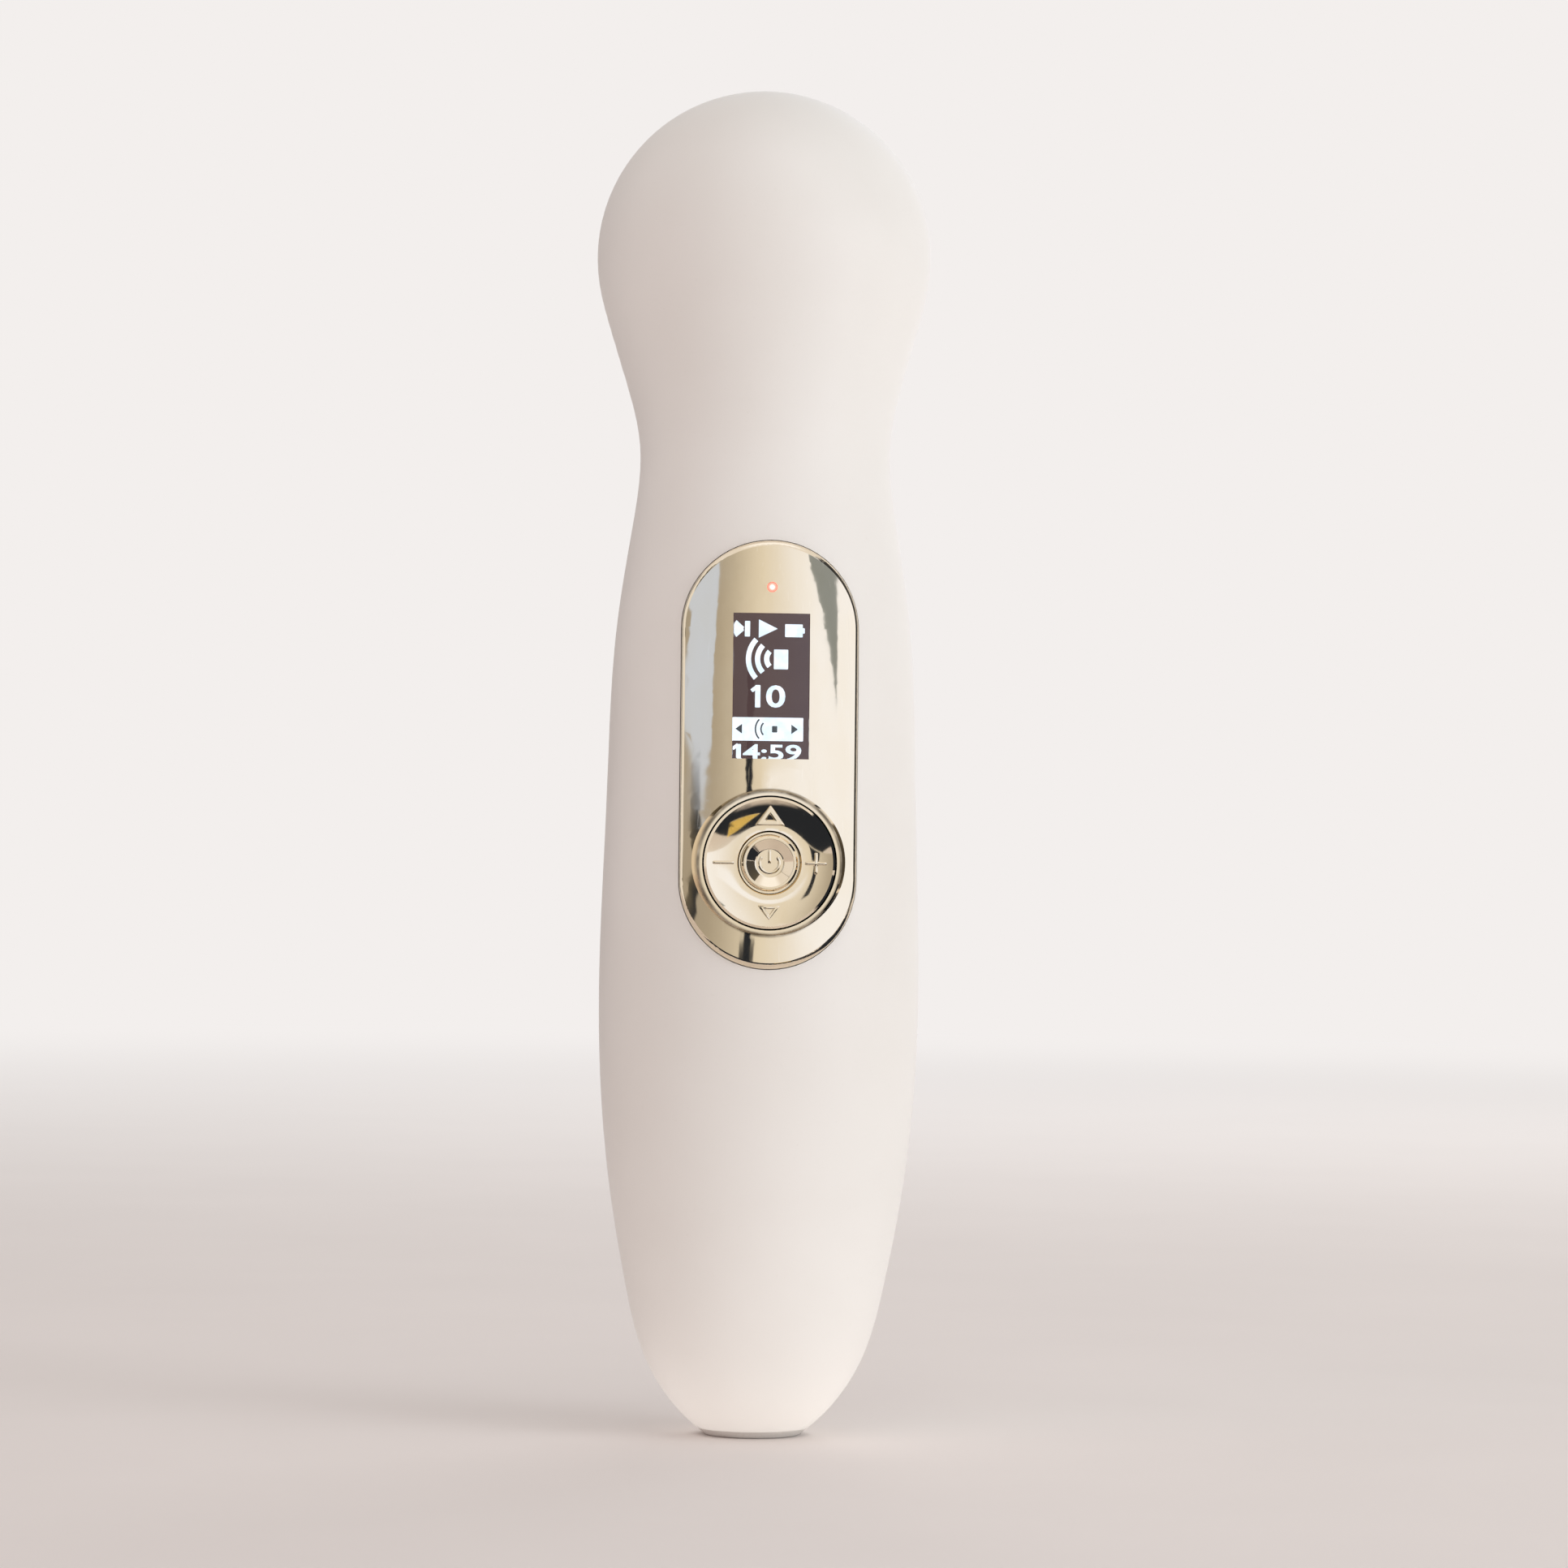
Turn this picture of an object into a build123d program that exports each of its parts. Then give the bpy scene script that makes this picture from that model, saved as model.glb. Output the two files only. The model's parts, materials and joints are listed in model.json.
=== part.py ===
from build123d import *
from math import cos, radians, sin, tan
import os

# Cordless ultrasonic and red-light facial wand, in millimetres.
# It stands on its foot with +Z up along the handle. The control panel faces -Y and the
# treatment face looks towards +Y and slightly up. The origin is the middle of the foot.
# A depth is a distance in front of the origin, towards -Y.

# Moulded body
LENGTH = 203.0
HEAD_RADIUS = 25.35
HEAD_Y = 8.4
HEAD_Z = LENGTH - HEAD_RADIUS
WALL = 2.2
FOOT_EDGE_RADIUS = 0.8
SEAM_GAP = 0.10
LIP_INSET = 1.10
LIP_HEIGHT = 1.2
LIP_CLEARANCE = 0.05

# Oval sections of the body: height, half width, half depth, y of the middle
SECTIONS = [
    (0.0, 7.0, 6.0, 0.0),  # flat foot
    (2.3, 9.8, 8.4, 0.0),
    (6.0, 13.1, 11.3, -0.3),
    (12.0, 16.5, 14.0, -0.8),
    (22.0, 19.3, 16.3, -1.4),
    (40.0, 22.4, 18.3, -2.0),
    (68.0, 24.0, 19.2, -2.2),  # belly of the handle
    (97.0, 23.2, 18.6, -2.2),
    (121.0, 22.1, 17.4, -2.2),  # shoulder above the panel
    (135.0, 20.1, 16.1, -1.9),
    (147.0, 18.8, 15.8, -0.2),  # neck
    (157.0, 20.5, 19.6, 4.1),
    (167.0, 23.4, 23.5, 7.6),  # where the neck runs into the ball head
]
# The ball head above that, as circles at these latitudes
LATITUDES = (-8, 8, 24, 40, 55, 68, 79, 86, 89)
ROUNDNESS = 0.9999  # an ellipse can't have equal axes, so the ball's are this close

# Gold control panel, a rounded slot that follows the front of the handle
PANEL_Z = 102.2
PANEL_WIDTH = 26.1
PANEL_HEIGHT = 63.0
PANEL_PROUD = 0.8
PANEL_SEAT = 1.20
PANEL_EDGE_RADIUS = 0.9
PANEL_GAP = 0.10
ADHESIVE = 0.15
OPENING_WIDTH = 22.0
OPENING_LOW_Z = 75.3
OPENING_HIGH_Z = 128.3

# Rocking four-way key and power button
KEY_Z = 86.3
KEY_RADIUS = 9.65
KEY_HOLE_RADIUS = 9.9
KEY_BORE_RADIUS = 4.5
KEY_RIM_DEPTH = 22.75
KEY_DISH_DEPTH = 22.1
KEY_UNDER_DEPTH = 21.0
KEY_FOOT_DEPTH = 16.4
BOSS_DEPTH = 22.35
BOSS_RADIUS = 10.6
WELL_RADIUS = 10.9
WELL_DEPTH = 17.4
SKIRT_INNER = 6.5
SKIRT_OUTER = 7.5
PIVOT_DEPTH = 19.0
PIVOT_PIN = 0.45
PIVOT_HOLE = 0.50
GIMBAL_INNER = 8.1
GIMBAL_OUTER = 9.55
GIMBAL_THICKNESS = 1.1
BUTTON_RADIUS = 4.15
BUTTON_DISH_RADIUS = 2.85
BUTTON_DEPTH = 23.0
BUTTON_DISH_DEPTH = 22.55
BUTTON_FLANGE_RADIUS = 5.9
BUTTON_FLANGE_DEPTH = 20.65
KEYPAD_RADIUS = 8.9
PAD_CIRCLE_RADIUS = 7.0

# Display and indicator light
WINDOW_Z = 112.25
WINDOW_WIDTH = 11.3
WINDOW_HEIGHT = 21.4
LENS_GAP = 0.1
OLED_Z = 111.9
OLED_WIDTH = 16.9
OLED_HEIGHT = 24.74
OLED_DEPTH = 17.6
OLED_THICKNESS = 1.4
INDICATOR_Z = 126.8
INDICATOR_RADIUS = 0.7

# Control board, and the chassis that carries it
BOARD_DEPTH = 14.0
BOARD_THICKNESS = 1.2
BOARD_WIDTH = 19.0
BOARD_LOW_Z = 77.2
BOARD_HIGH_Z = 127.8
BOARD_SCREWS = [(7.4, 97.4), (-7.4, 97.4), (7.4, 126.0), (-7.4, 126.0)]
BOARD_RESTS = [(7.6, 79.2), (-7.6, 79.2)]
CHASSIS_DEPTH = 10.8
CHASSIS_BACK_DEPTH = 9.0
CHASSIS_TOP_Z = 134.5
CHASSIS_SCREWS = [(13.6, 92.0), (-13.6, 92.0), (11.4, 131.0), (-11.4, 131.0)]
SHELL_SCREWS = [(72.95, 17.2), (131.0, 14.6)]  # height and depth of the seat
SCREW_HEAD_RADIUS = 1.5
SCREW_HEAD_HEIGHT = 1.2
SCREW_RADIUS = 0.8
SCREW_PILOT = 0.85
SCREW_CLEARANCE = 1.1
LINK_Z = 103.0

# Ultrasonic driver board behind the chassis
DRIVER_DEPTH = 7.2
DRIVER_THICKNESS = 1.2
DRIVER_WIDTH = 18.0
DRIVER_LOW_Z = 94.0
DRIVER_HIGH_Z = 129.0
DRIVER_SCREWS = [(6.6, 96.6), (-6.6, 96.6), (0.0, 126.6)]
TRANSFORMER_Z = 116.0

# Lithium cell in the lower handle
CELL_RADIUS = 9.2
CELL_Y = 1.5
CELL_LOW_Z = 17.5
CELL_HIGH_Z = 82.5
TAB_THICKNESS = 0.3
CRADLE_INNER = 9.25
CRADLE_OUTER = 10.75
CRADLE_LOW_Z = 15.6
CRADLE_WINDOWS = (30.0, 46.0, 62.0)
LEAD_RADIUS = 0.6

# Charging socket in the foot
PORT_WIDTH = 8.94
PORT_THICKNESS = 3.26
PORT_SHEET = 0.30
PORT_LOW_Z = 0.35
PORT_HIGH_Z = 7.75
PORT_CLEARANCE = 0.12
CHARGE_BOARD_Y = 1.68
CHARGE_BOARD_THICKNESS = 1.0
CHARGE_BOARD_WIDTH = 9.0

# Treatment face, tilted up from straight back; heights are along its normal
FACE_TILT = 12.0
FACE_SETBACK = 13.5
RECESS_RADIUS = 19.6
FLANGE_INNER = 17.6
FLANGE_TOP = -3.0
FLANGE_THICKNESS = 1.6
RIM_RING_RADIUS = 21.7
RIM_RING_HEIGHT = 1.3
SLEEVE_OUTER = 19.5
SLEEVE_INNER = 18.75
PROBE_RADIUS = 13.4
PROBE_HEIGHT = 2.2
PROBE_PLATE = 1.6
PROBE_SKIRT_INNER = 12.2
PROBE_FOOT_RADIUS = 14.3
GASKET_OUTER = 14.85
LIGHT_RING_INNER = 14.9
LIGHT_RING_OUTER = 18.65
LED_BOARD_TOP = -5.0
LED_BOARD_THICKNESS = 1.2
LED_CIRCLE_RADIUS = 16.3
LED_COUNT = 12
PIEZO_RADIUS = 10.0
PIEZO_THICKNESS = 2.0
CARRIER_TOP = -6.2
CARRIER_THICKNESS = 1.6
CARRIER_RADIUS = 20.9
CARRIER_BORE = 9.0
CARRIER_SCREW_CIRCLE = 19.1

face_normal = Vector(0, cos(radians(FACE_TILT)), sin(radians(FACE_TILT)))
face_centre = Vector(0, HEAD_Y, HEAD_Z) + face_normal * FACE_SETBACK
face_plane = Plane(face_centre, x_dir=(1, 0, 0), z_dir=face_normal)
face_profile = Plane(face_centre, x_dir=(1, 0, 0), z_dir=Vector(1, 0, 0).cross(face_normal))
face_axis = Axis(face_centre, face_normal)
key_profile = Plane((0, 0, KEY_Z), x_dir=(1, 0, 0), z_dir=(0, 0, -1))
key_axis = Axis((0, 0, KEY_Z), (0, -1, 0))
key_circle = Plane((0, 0, KEY_Z), x_dir=(1, 0, 0), z_dir=(0, -1, 0))
cell_plane = Plane((0, CELL_Y, 0), x_dir=(1, 0, 0), z_dir=(0, 0, 1))
BASE = (Align.CENTER, Align.CENTER, Align.MIN)


def front_plane(depth):
    """A plane that faces the user at this depth; its x is X and its y is Z."""
    return Plane((0, -depth, 0), x_dir=(1, 0, 0), z_dir=(0, -1, 0))


def body_form(inset):
    """The outer form of the whole body, taken in evenly by inset."""
    radius = HEAD_RADIUS - inset
    with BuildPart(mode=Mode.PRIVATE) as form:
        for height, half_width, half_depth, middle in SECTIONS:
            level = max(inset, 0) if height == 0 else height
            with BuildSketch(Plane((0, middle, level))):
                Ellipse(half_width - inset, half_depth - inset)
        for latitude in LATITUDES:
            level = HEAD_Z + radius * sin(radians(latitude))
            with BuildSketch(Plane((0, HEAD_Y, level))):
                Ellipse(radius * cos(radians(latitude)), ROUNDNESS * radius * cos(radians(latitude)))
        loft()
    return form.part


def ahead_of_seam(shift):
    """Everything in front of the curved seam of the shells, with the seam moved forward by shift."""
    seam = [(middle - shift, height) for height, _, _, middle in SECTIONS]
    seam.append((HEAD_Y - shift, HEAD_Z))
    with BuildPart(mode=Mode.PRIVATE) as region:
        with BuildSketch(Plane.YZ):
            with BuildLine():
                curve = Spline(seam)
                Polyline(
                    curve @ 1,
                    (HEAD_Y - shift, LENGTH + 5),
                    (-60, LENGTH + 5),
                    (-60, -5),
                    (-shift, -5),
                    curve @ 0,
                )
            make_face()
        extrude(amount=40, both=True)
    return region.part


def turned(plane, axis, outline):
    """A solid of revolution from a closed outline of radius and height."""
    with BuildPart(mode=Mode.PRIVATE) as solid:
        with BuildSketch(plane):
            with BuildLine():
                Polyline(outline, close=True)
            make_face()
        revolve(axis=axis)
    return solid.part


def post(x, z, radius, back_depth, front_depth):
    """A round post along Y at x and z, between two depths."""
    with BuildPart(front_plane(back_depth), mode=Mode.PRIVATE) as pillar:
        with Locations((x, z)):
            Cylinder(radius, front_depth - back_depth, align=BASE)
    return pillar.part


def slab(x, z, width, height, back_depth, front_depth):
    """A block centred on x and z, between two depths."""
    with BuildPart(front_plane(back_depth), mode=Mode.PRIVATE) as block:
        with Locations((x, z)):
            Box(width, height, front_depth - back_depth, align=BASE)
    return block.part


def screw(x, z, seat_depth, length, facing=1):
    """A pan-head screw along Y whose head sits on seat_depth, facing the user or, with -1, the rear."""
    head_end = seat_depth + facing * SCREW_HEAD_HEIGHT
    tip = seat_depth - facing * length
    head = post(x, z, SCREW_HEAD_RADIUS, min(seat_depth, head_end), max(seat_depth, head_end))
    return head + post(x, z, SCREW_RADIUS, min(seat_depth, tip), max(seat_depth, tip))


def lead(x, points):
    """An insulated wire through points of y and z, with each bend as wide as its two runs allow."""
    route = [Vector(x, y, z) for y, z in points]
    radii = []
    for before, corner, after in zip(route, route[1:], route[2:]):
        shorter = min((corner - before).length, (after - corner).length)
        turn = (corner - before).get_angle(after - corner)
        radii.append(0.45 * shorter / tan(radians(turn) / 2))
    with BuildPart(mode=Mode.PRIVATE) as wire:
        with BuildLine() as path:
            FilletPolyline(*route, radius=radii)
        with BuildSketch(Plane(path.line @ 0, z_dir=path.line % 0)):
            Circle(LEAD_RADIUS)
        sweep(path=path.line)
    return wire.part


outer_form = body_form(0)
cavity_form = body_form(WALL)
seat_form = body_form(PANEL_SEAT)
glue_form = body_form(PANEL_SEAT + ADHESIVE)

with BuildPart(mode=Mode.PRIVATE) as port_slot:
    with BuildSketch(Plane.XY.offset(-1)):
        SlotOverall(PORT_WIDTH + 2 * PORT_CLEARANCE, PORT_THICKNESS + 2 * PORT_CLEARANCE)
    extrude(amount=PORT_HIGH_Z + 2)

with BuildPart(mode=Mode.PRIVATE) as panel_pocket:
    with BuildSketch(front_plane(0)):
        with Locations((0, PANEL_Z)):
            SlotOverall(PANEL_HEIGHT + 2 * PANEL_GAP, PANEL_WIDTH + 2 * PANEL_GAP, rotation=90)
    extrude(amount=40)

with BuildPart(mode=Mode.PRIVATE) as panel_opening:
    with BuildSketch(front_plane(0)):
        with Locations((0, (OPENING_LOW_Z + OPENING_HIGH_Z) / 2)):
            RectangleRounded(OPENING_WIDTH, OPENING_HIGH_Z - OPENING_LOW_Z, 6)
    extrude(amount=40)

# Front shell: the whole visible front, with the stepped pocket for the panel and two screw seats
with BuildPart() as front_shell:
    add(outer_form)
    fillet(front_shell.edges().group_by(Axis.Z)[0], FOOT_EDGE_RADIUS)
    add(ahead_of_seam(SEAM_GAP / 2), mode=Mode.INTERSECT)
    add(cavity_form, mode=Mode.SUBTRACT)
    add(body_form(LIP_INSET - LIP_CLEARANCE) - ahead_of_seam(LIP_HEIGHT), mode=Mode.SUBTRACT)
    for screw_z, seat_depth in SHELL_SCREWS:
        add(post(0, screw_z, SCREW_HEAD_RADIUS + 1.2, seat_depth, 40) & seat_form)
    add(panel_pocket.part - glue_form, mode=Mode.SUBTRACT)
    add(panel_opening.part, mode=Mode.SUBTRACT)
    for screw_z, seat_depth in SHELL_SCREWS:
        add(post(0, screw_z, SCREW_HEAD_RADIUS + 0.15, seat_depth + 1.0, 40), mode=Mode.SUBTRACT)
        add(post(0, screw_z, SCREW_CLEARANCE, seat_depth - 1.0, 40), mode=Mode.SUBTRACT)
    add(port_slot.part, mode=Mode.SUBTRACT)

# Rear shell: carries the seam lip, four tall bosses and the flange of the treatment head
with BuildPart() as rear_shell:
    add(outer_form)
    fillet(rear_shell.edges().group_by(Axis.Z)[0], FOOT_EDGE_RADIUS)
    add(ahead_of_seam(-SEAM_GAP / 2), mode=Mode.SUBTRACT)
    add((body_form(LIP_INSET + LIP_CLEARANCE) & ahead_of_seam(-SEAM_GAP)) - ahead_of_seam(LIP_HEIGHT))
    add(cavity_form, mode=Mode.SUBTRACT)
    for x, z in CHASSIS_SCREWS:
        add(post(x, z, 2.5, -30, CHASSIS_BACK_DEPTH) & body_form(1.0))
        add(post(x, z, SCREW_PILOT, 0, CHASSIS_BACK_DEPTH), mode=Mode.SUBTRACT)
    with BuildPart(face_plane.offset(FLANGE_TOP), mode=Mode.PRIVATE) as flange:
        Cylinder(24, FLANGE_THICKNESS, align=(Align.CENTER, Align.CENTER, Align.MAX))
        Hole(FLANGE_INNER)
    add(flange.part & body_form(1.0))
    with BuildSketch(face_plane.offset(FLANGE_TOP)):
        Circle(RECESS_RADIUS)
    extrude(amount=10, mode=Mode.SUBTRACT)
    with BuildSketch(face_plane):
        Circle(40)
    extrude(amount=30, mode=Mode.SUBTRACT)
    with BuildSketch(face_plane.offset(FLANGE_TOP - FLANGE_THICKNESS)):
        with PolarLocations(CARRIER_SCREW_CIRCLE, 3, start_angle=90):
            Circle(0.7)
    extrude(amount=FLANGE_THICKNESS - 0.3, mode=Mode.SUBTRACT)
    add(port_slot.part, mode=Mode.SUBTRACT)

# Control bezel: plated cover with a raised round seat and the well that the key rocks in
bezel_boss = turned(
    key_profile,
    key_axis,
    [
        (KEY_HOLE_RADIUS - 1, PIVOT_DEPTH),
        (BOSS_RADIUS + 0.9, PIVOT_DEPTH),
        (BOSS_RADIUS + 0.1, BOSS_DEPTH - 0.3),
        (BOSS_RADIUS - 0.15, BOSS_DEPTH),
        (KEY_HOLE_RADIUS - 1, BOSS_DEPTH),
    ],
)
key_well = turned(
    key_profile,
    key_axis,
    [
        (KEY_HOLE_RADIUS - 1, WELL_DEPTH),
        (WELL_RADIUS, WELL_DEPTH),
        (WELL_RADIUS, PIVOT_DEPTH + 1.5),
        (KEY_HOLE_RADIUS - 1, PIVOT_DEPTH + 1.5),
    ],
)
with BuildPart() as control_bezel:
    with BuildSketch(front_plane(0)):
        with Locations((0, PANEL_Z)):
            SlotOverall(PANEL_HEIGHT, PANEL_WIDTH, rotation=90)
    extrude(amount=40)
    add(body_form(-PANEL_PROUD), mode=Mode.INTERSECT)
    add(seat_form, mode=Mode.SUBTRACT)
    fillet(control_bezel.faces().sort_by(Axis.Y)[0].outer_wire().edges(), PANEL_EDGE_RADIUS)
    add(bezel_boss - seat_form)
    add(key_well)
    with BuildSketch(key_circle):
        Circle(KEY_HOLE_RADIUS)
    extrude(amount=40, mode=Mode.SUBTRACT)
    with BuildSketch(Plane((0, -PIVOT_DEPTH, KEY_Z), x_dir=(0, 1, 0), z_dir=(1, 0, 0))):
        Circle(PIVOT_HOLE)
    extrude(amount=WELL_RADIUS - 0.05, both=True, mode=Mode.SUBTRACT)
    add(slab(0, WINDOW_Z, WINDOW_WIDTH, WINDOW_HEIGHT, 0, 40), mode=Mode.SUBTRACT)
    add(slab(0, OLED_Z, OLED_WIDTH + 0.4, OLED_HEIGHT + 0.4, 0, OLED_DEPTH + 0.1), mode=Mode.SUBTRACT)
    add(post(0, INDICATOR_Z, INDICATOR_RADIUS + 0.05, 0, 40), mode=Mode.SUBTRACT)

# Adhesive sheet between the bezel and the shell
with BuildPart() as bezel_adhesive:
    with BuildSketch(front_plane(0)):
        with Locations((0, PANEL_Z)):
            SlotOverall(PANEL_HEIGHT - 0.6, PANEL_WIDTH - 0.6, rotation=90)
    extrude(amount=40)
    add(body_form(PANEL_SEAT + 0.02), mode=Mode.INTERSECT)
    add(body_form(PANEL_SEAT + ADHESIVE - 0.02), mode=Mode.SUBTRACT)
    add(panel_opening.part, mode=Mode.SUBTRACT)
    for screw_z, _ in SHELL_SCREWS:
        add(post(0, screw_z, SCREW_HEAD_RADIUS + 0.1, 0, 40), mode=Mode.SUBTRACT)

# Four-way key: a dished ring on a skirt, with two trunnion pins above and below
with BuildPart() as key_ring:
    with BuildSketch(key_profile):
        with BuildLine():
            top = Polyline(
                (KEY_RADIUS, KEY_UNDER_DEPTH),
                (KEY_RADIUS, KEY_RIM_DEPTH - 0.35),
                (KEY_RADIUS - 0.35, KEY_RIM_DEPTH),
            )
            dish = ThreePointArc(
                top @ 1,
                (7.0, KEY_DISH_DEPTH + 0.12),
                (KEY_BORE_RADIUS + 0.25, KEY_DISH_DEPTH),
            )
            Polyline(
                dish @ 1,
                (KEY_BORE_RADIUS, KEY_DISH_DEPTH - 0.3),
                (KEY_BORE_RADIUS, KEY_UNDER_DEPTH),
                (SKIRT_INNER, KEY_UNDER_DEPTH),
                (SKIRT_INNER, KEY_FOOT_DEPTH),
                (SKIRT_OUTER, KEY_FOOT_DEPTH),
                (SKIRT_OUTER, KEY_UNDER_DEPTH),
                top @ 0,
            )
        make_face()
    revolve(axis=key_axis)
    for side in (1, -1):
        with BuildSketch(Plane((0, -PIVOT_DEPTH, KEY_Z + side * 7.2), x_dir=(1, 0, 0), z_dir=(0, 0, side))):
            Circle(PIVOT_PIN)
        extrude(amount=GIMBAL_OUTER - 0.25 - 7.2)

# Gimbal ring: pins at the sides rock in the bezel, holes above and below take the key's pins
with BuildPart() as key_gimbal:
    with BuildSketch(front_plane(PIVOT_DEPTH - GIMBAL_THICKNESS / 2)):
        with Locations((0, KEY_Z)):
            Circle(GIMBAL_OUTER)
            Circle(GIMBAL_INNER, mode=Mode.SUBTRACT)
    extrude(amount=GIMBAL_THICKNESS)
    with BuildSketch(Plane((0, -PIVOT_DEPTH, KEY_Z), x_dir=(1, 0, 0), z_dir=(0, 0, 1))):
        Circle(PIVOT_HOLE)
    extrude(amount=GIMBAL_OUTER + 1, both=True, mode=Mode.SUBTRACT)
    for side in (1, -1):
        pin_start = side * (GIMBAL_OUTER - 0.5)
        with BuildSketch(Plane((pin_start, -PIVOT_DEPTH, KEY_Z), x_dir=(0, 1, 0), z_dir=(side, 0, 0))):
            Circle(PIVOT_PIN)
        extrude(amount=WELL_RADIUS - 0.2 - GIMBAL_OUTER + 0.5)

# Power button: dished cap with a bevelled rim, a flange that the key keeps in, and a stem
with BuildPart() as power_button:
    add(
        turned(
            key_profile,
            key_axis,
            [
                (0, KEY_FOOT_DEPTH),
                (2.0, KEY_FOOT_DEPTH),
                (2.0, BUTTON_FLANGE_DEPTH - 0.7),
                (BUTTON_FLANGE_RADIUS, BUTTON_FLANGE_DEPTH - 0.7),
                (BUTTON_FLANGE_RADIUS, BUTTON_FLANGE_DEPTH),
                (BUTTON_RADIUS, BUTTON_FLANGE_DEPTH),
                (BUTTON_RADIUS, BUTTON_DEPTH - 0.35),
                (BUTTON_RADIUS - 0.3, BUTTON_DEPTH),
                (BUTTON_DISH_RADIUS + 0.6, BUTTON_DEPTH),
                (BUTTON_DISH_RADIUS, BUTTON_DISH_DEPTH),
                (0, BUTTON_DISH_DEPTH - 0.1),
            ],
        )
    )

# Silicone keypad: a sheet on a rim, with five pads above and five nubs below
with BuildPart() as keypad_mat:
    add(
        turned(
            key_profile,
            key_axis,
            [
                (0, BOARD_DEPTH + 1.2),
                (KEYPAD_RADIUS - 0.8, BOARD_DEPTH + 1.2),
                (KEYPAD_RADIUS - 0.8, BOARD_DEPTH),
                (KEYPAD_RADIUS, BOARD_DEPTH),
                (KEYPAD_RADIUS, BOARD_DEPTH + 1.7),
                (0, BOARD_DEPTH + 1.7),
            ],
        )
    )
    with BuildSketch(key_circle.offset(BOARD_DEPTH + 0.65)):
        Circle(0.9)
        with PolarLocations(PAD_CIRCLE_RADIUS - 0.6, 4):
            Circle(0.8)
    extrude(amount=1.0)
    with BuildSketch(key_circle.offset(BOARD_DEPTH + 1.5)):
        Circle(1.8)
        with PolarLocations(PAD_CIRCLE_RADIUS, 4):
            Circle(0.9)
    extrude(amount=KEY_FOOT_DEPTH - 0.05 - BOARD_DEPTH - 1.5)

# Tactile switches under the keypad
with BuildPart() as tact_switches:
    with BuildSketch(key_circle.offset(BOARD_DEPTH)):
        Rectangle(2.6, 2.6)
        with PolarLocations(PAD_CIRCLE_RADIUS - 0.6, 4):
            Rectangle(2.2, 2.2)
    extrude(amount=0.45)
    with BuildSketch(key_circle.offset(BOARD_DEPTH + 0.4)):
        Circle(0.8)
        with PolarLocations(PAD_CIRCLE_RADIUS - 0.6, 4):
            Circle(0.7)
    extrude(amount=0.2)

# Clear window, flush with the bezel and resting on the display glass
with BuildPart() as display_lens:
    add(
        slab(
            0,
            WINDOW_Z,
            WINDOW_WIDTH - 2 * LENS_GAP,
            WINDOW_HEIGHT - 2 * LENS_GAP,
            OLED_DEPTH,
            40,
        )
    )
    add(body_form(0.15 - PANEL_PROUD), mode=Mode.INTERSECT)

with BuildPart() as display_panel:
    add(slab(0, OLED_Z, OLED_WIDTH, OLED_HEIGHT, OLED_DEPTH - OLED_THICKNESS, OLED_DEPTH))
    chamfer(display_panel.edges().filter_by(Axis.Y), 0.3)

# Moulded frame that holds the display glass off the board
with BuildPart() as display_bracket:
    add(slab(0, OLED_Z, OLED_WIDTH, OLED_HEIGHT, BOARD_DEPTH, OLED_DEPTH - OLED_THICKNESS))
    add(slab(0, OLED_Z, OLED_WIDTH - 3, OLED_HEIGHT - 3, 0, 40), mode=Mode.SUBTRACT)
    fillet(display_bracket.edges().filter_by(Axis.Y), 0.6)

# Flat flex from the display glass to its connector on the board
ribbon_top_z = OLED_Z - OLED_HEIGHT / 2
with BuildPart() as display_ribbon:
    with BuildSketch(Plane.YZ):
        with BuildLine():
            FilletPolyline(
                (-OLED_DEPTH + 0.7, ribbon_top_z - 0.02),
                (-OLED_DEPTH + 0.7, ribbon_top_z - 1.0),
                (-BOARD_DEPTH - 0.7, ribbon_top_z - 1.0),
                (-BOARD_DEPTH - 0.7, ribbon_top_z - 1.75),
                radius=0.4,
            )
        trace(line_width=0.16)
    extrude(amount=4.5, both=True)

with BuildPart() as ribbon_connector:
    add(slab(0, ribbon_top_z - 2.75, 10.6, 1.9, BOARD_DEPTH, BOARD_DEPTH + 1.2))
    fillet(ribbon_connector.edges().filter_by(Axis.Y), 0.3)

# Red indicator: a light pipe over its LED
with BuildPart() as indicator_light_pipe:
    add(post(0, INDICATOR_Z, INDICATOR_RADIUS, BOARD_DEPTH + 0.7, 40))
    add(body_form(-PANEL_PROUD), mode=Mode.INTERSECT)

with BuildPart() as indicator_led:
    add(slab(0, INDICATOR_Z, 1.6, 0.8, BOARD_DEPTH, BOARD_DEPTH + 0.6))

# Control board with its chips in the space under the display
with BuildPart() as main_board:
    with BuildSketch(front_plane(BOARD_DEPTH - BOARD_THICKNESS)):
        with Locations((0, (BOARD_LOW_Z + BOARD_HIGH_Z) / 2)):
            RectangleRounded(BOARD_WIDTH, BOARD_HIGH_Z - BOARD_LOW_Z, 1.5)
        with Locations(*BOARD_SCREWS):
            Circle(SCREW_CLEARANCE, mode=Mode.SUBTRACT)
    extrude(amount=BOARD_THICKNESS)

with BuildPart() as controller_chips:
    add(slab(-2.0, 115.0, 7.0, 7.0, BOARD_DEPTH, BOARD_DEPTH + 1.0))
    add(slab(4.0, 106.0, 4.0, 5.0, BOARD_DEPTH, BOARD_DEPTH + 1.3))
    add(slab(-3.2, 106.4, 3.0, 3.0, BOARD_DEPTH, BOARD_DEPTH + 0.9))
    chamfer(controller_chips.faces().filter_by(Axis.Y).group_by(Axis.Y)[0].edges(), 0.1)

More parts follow.
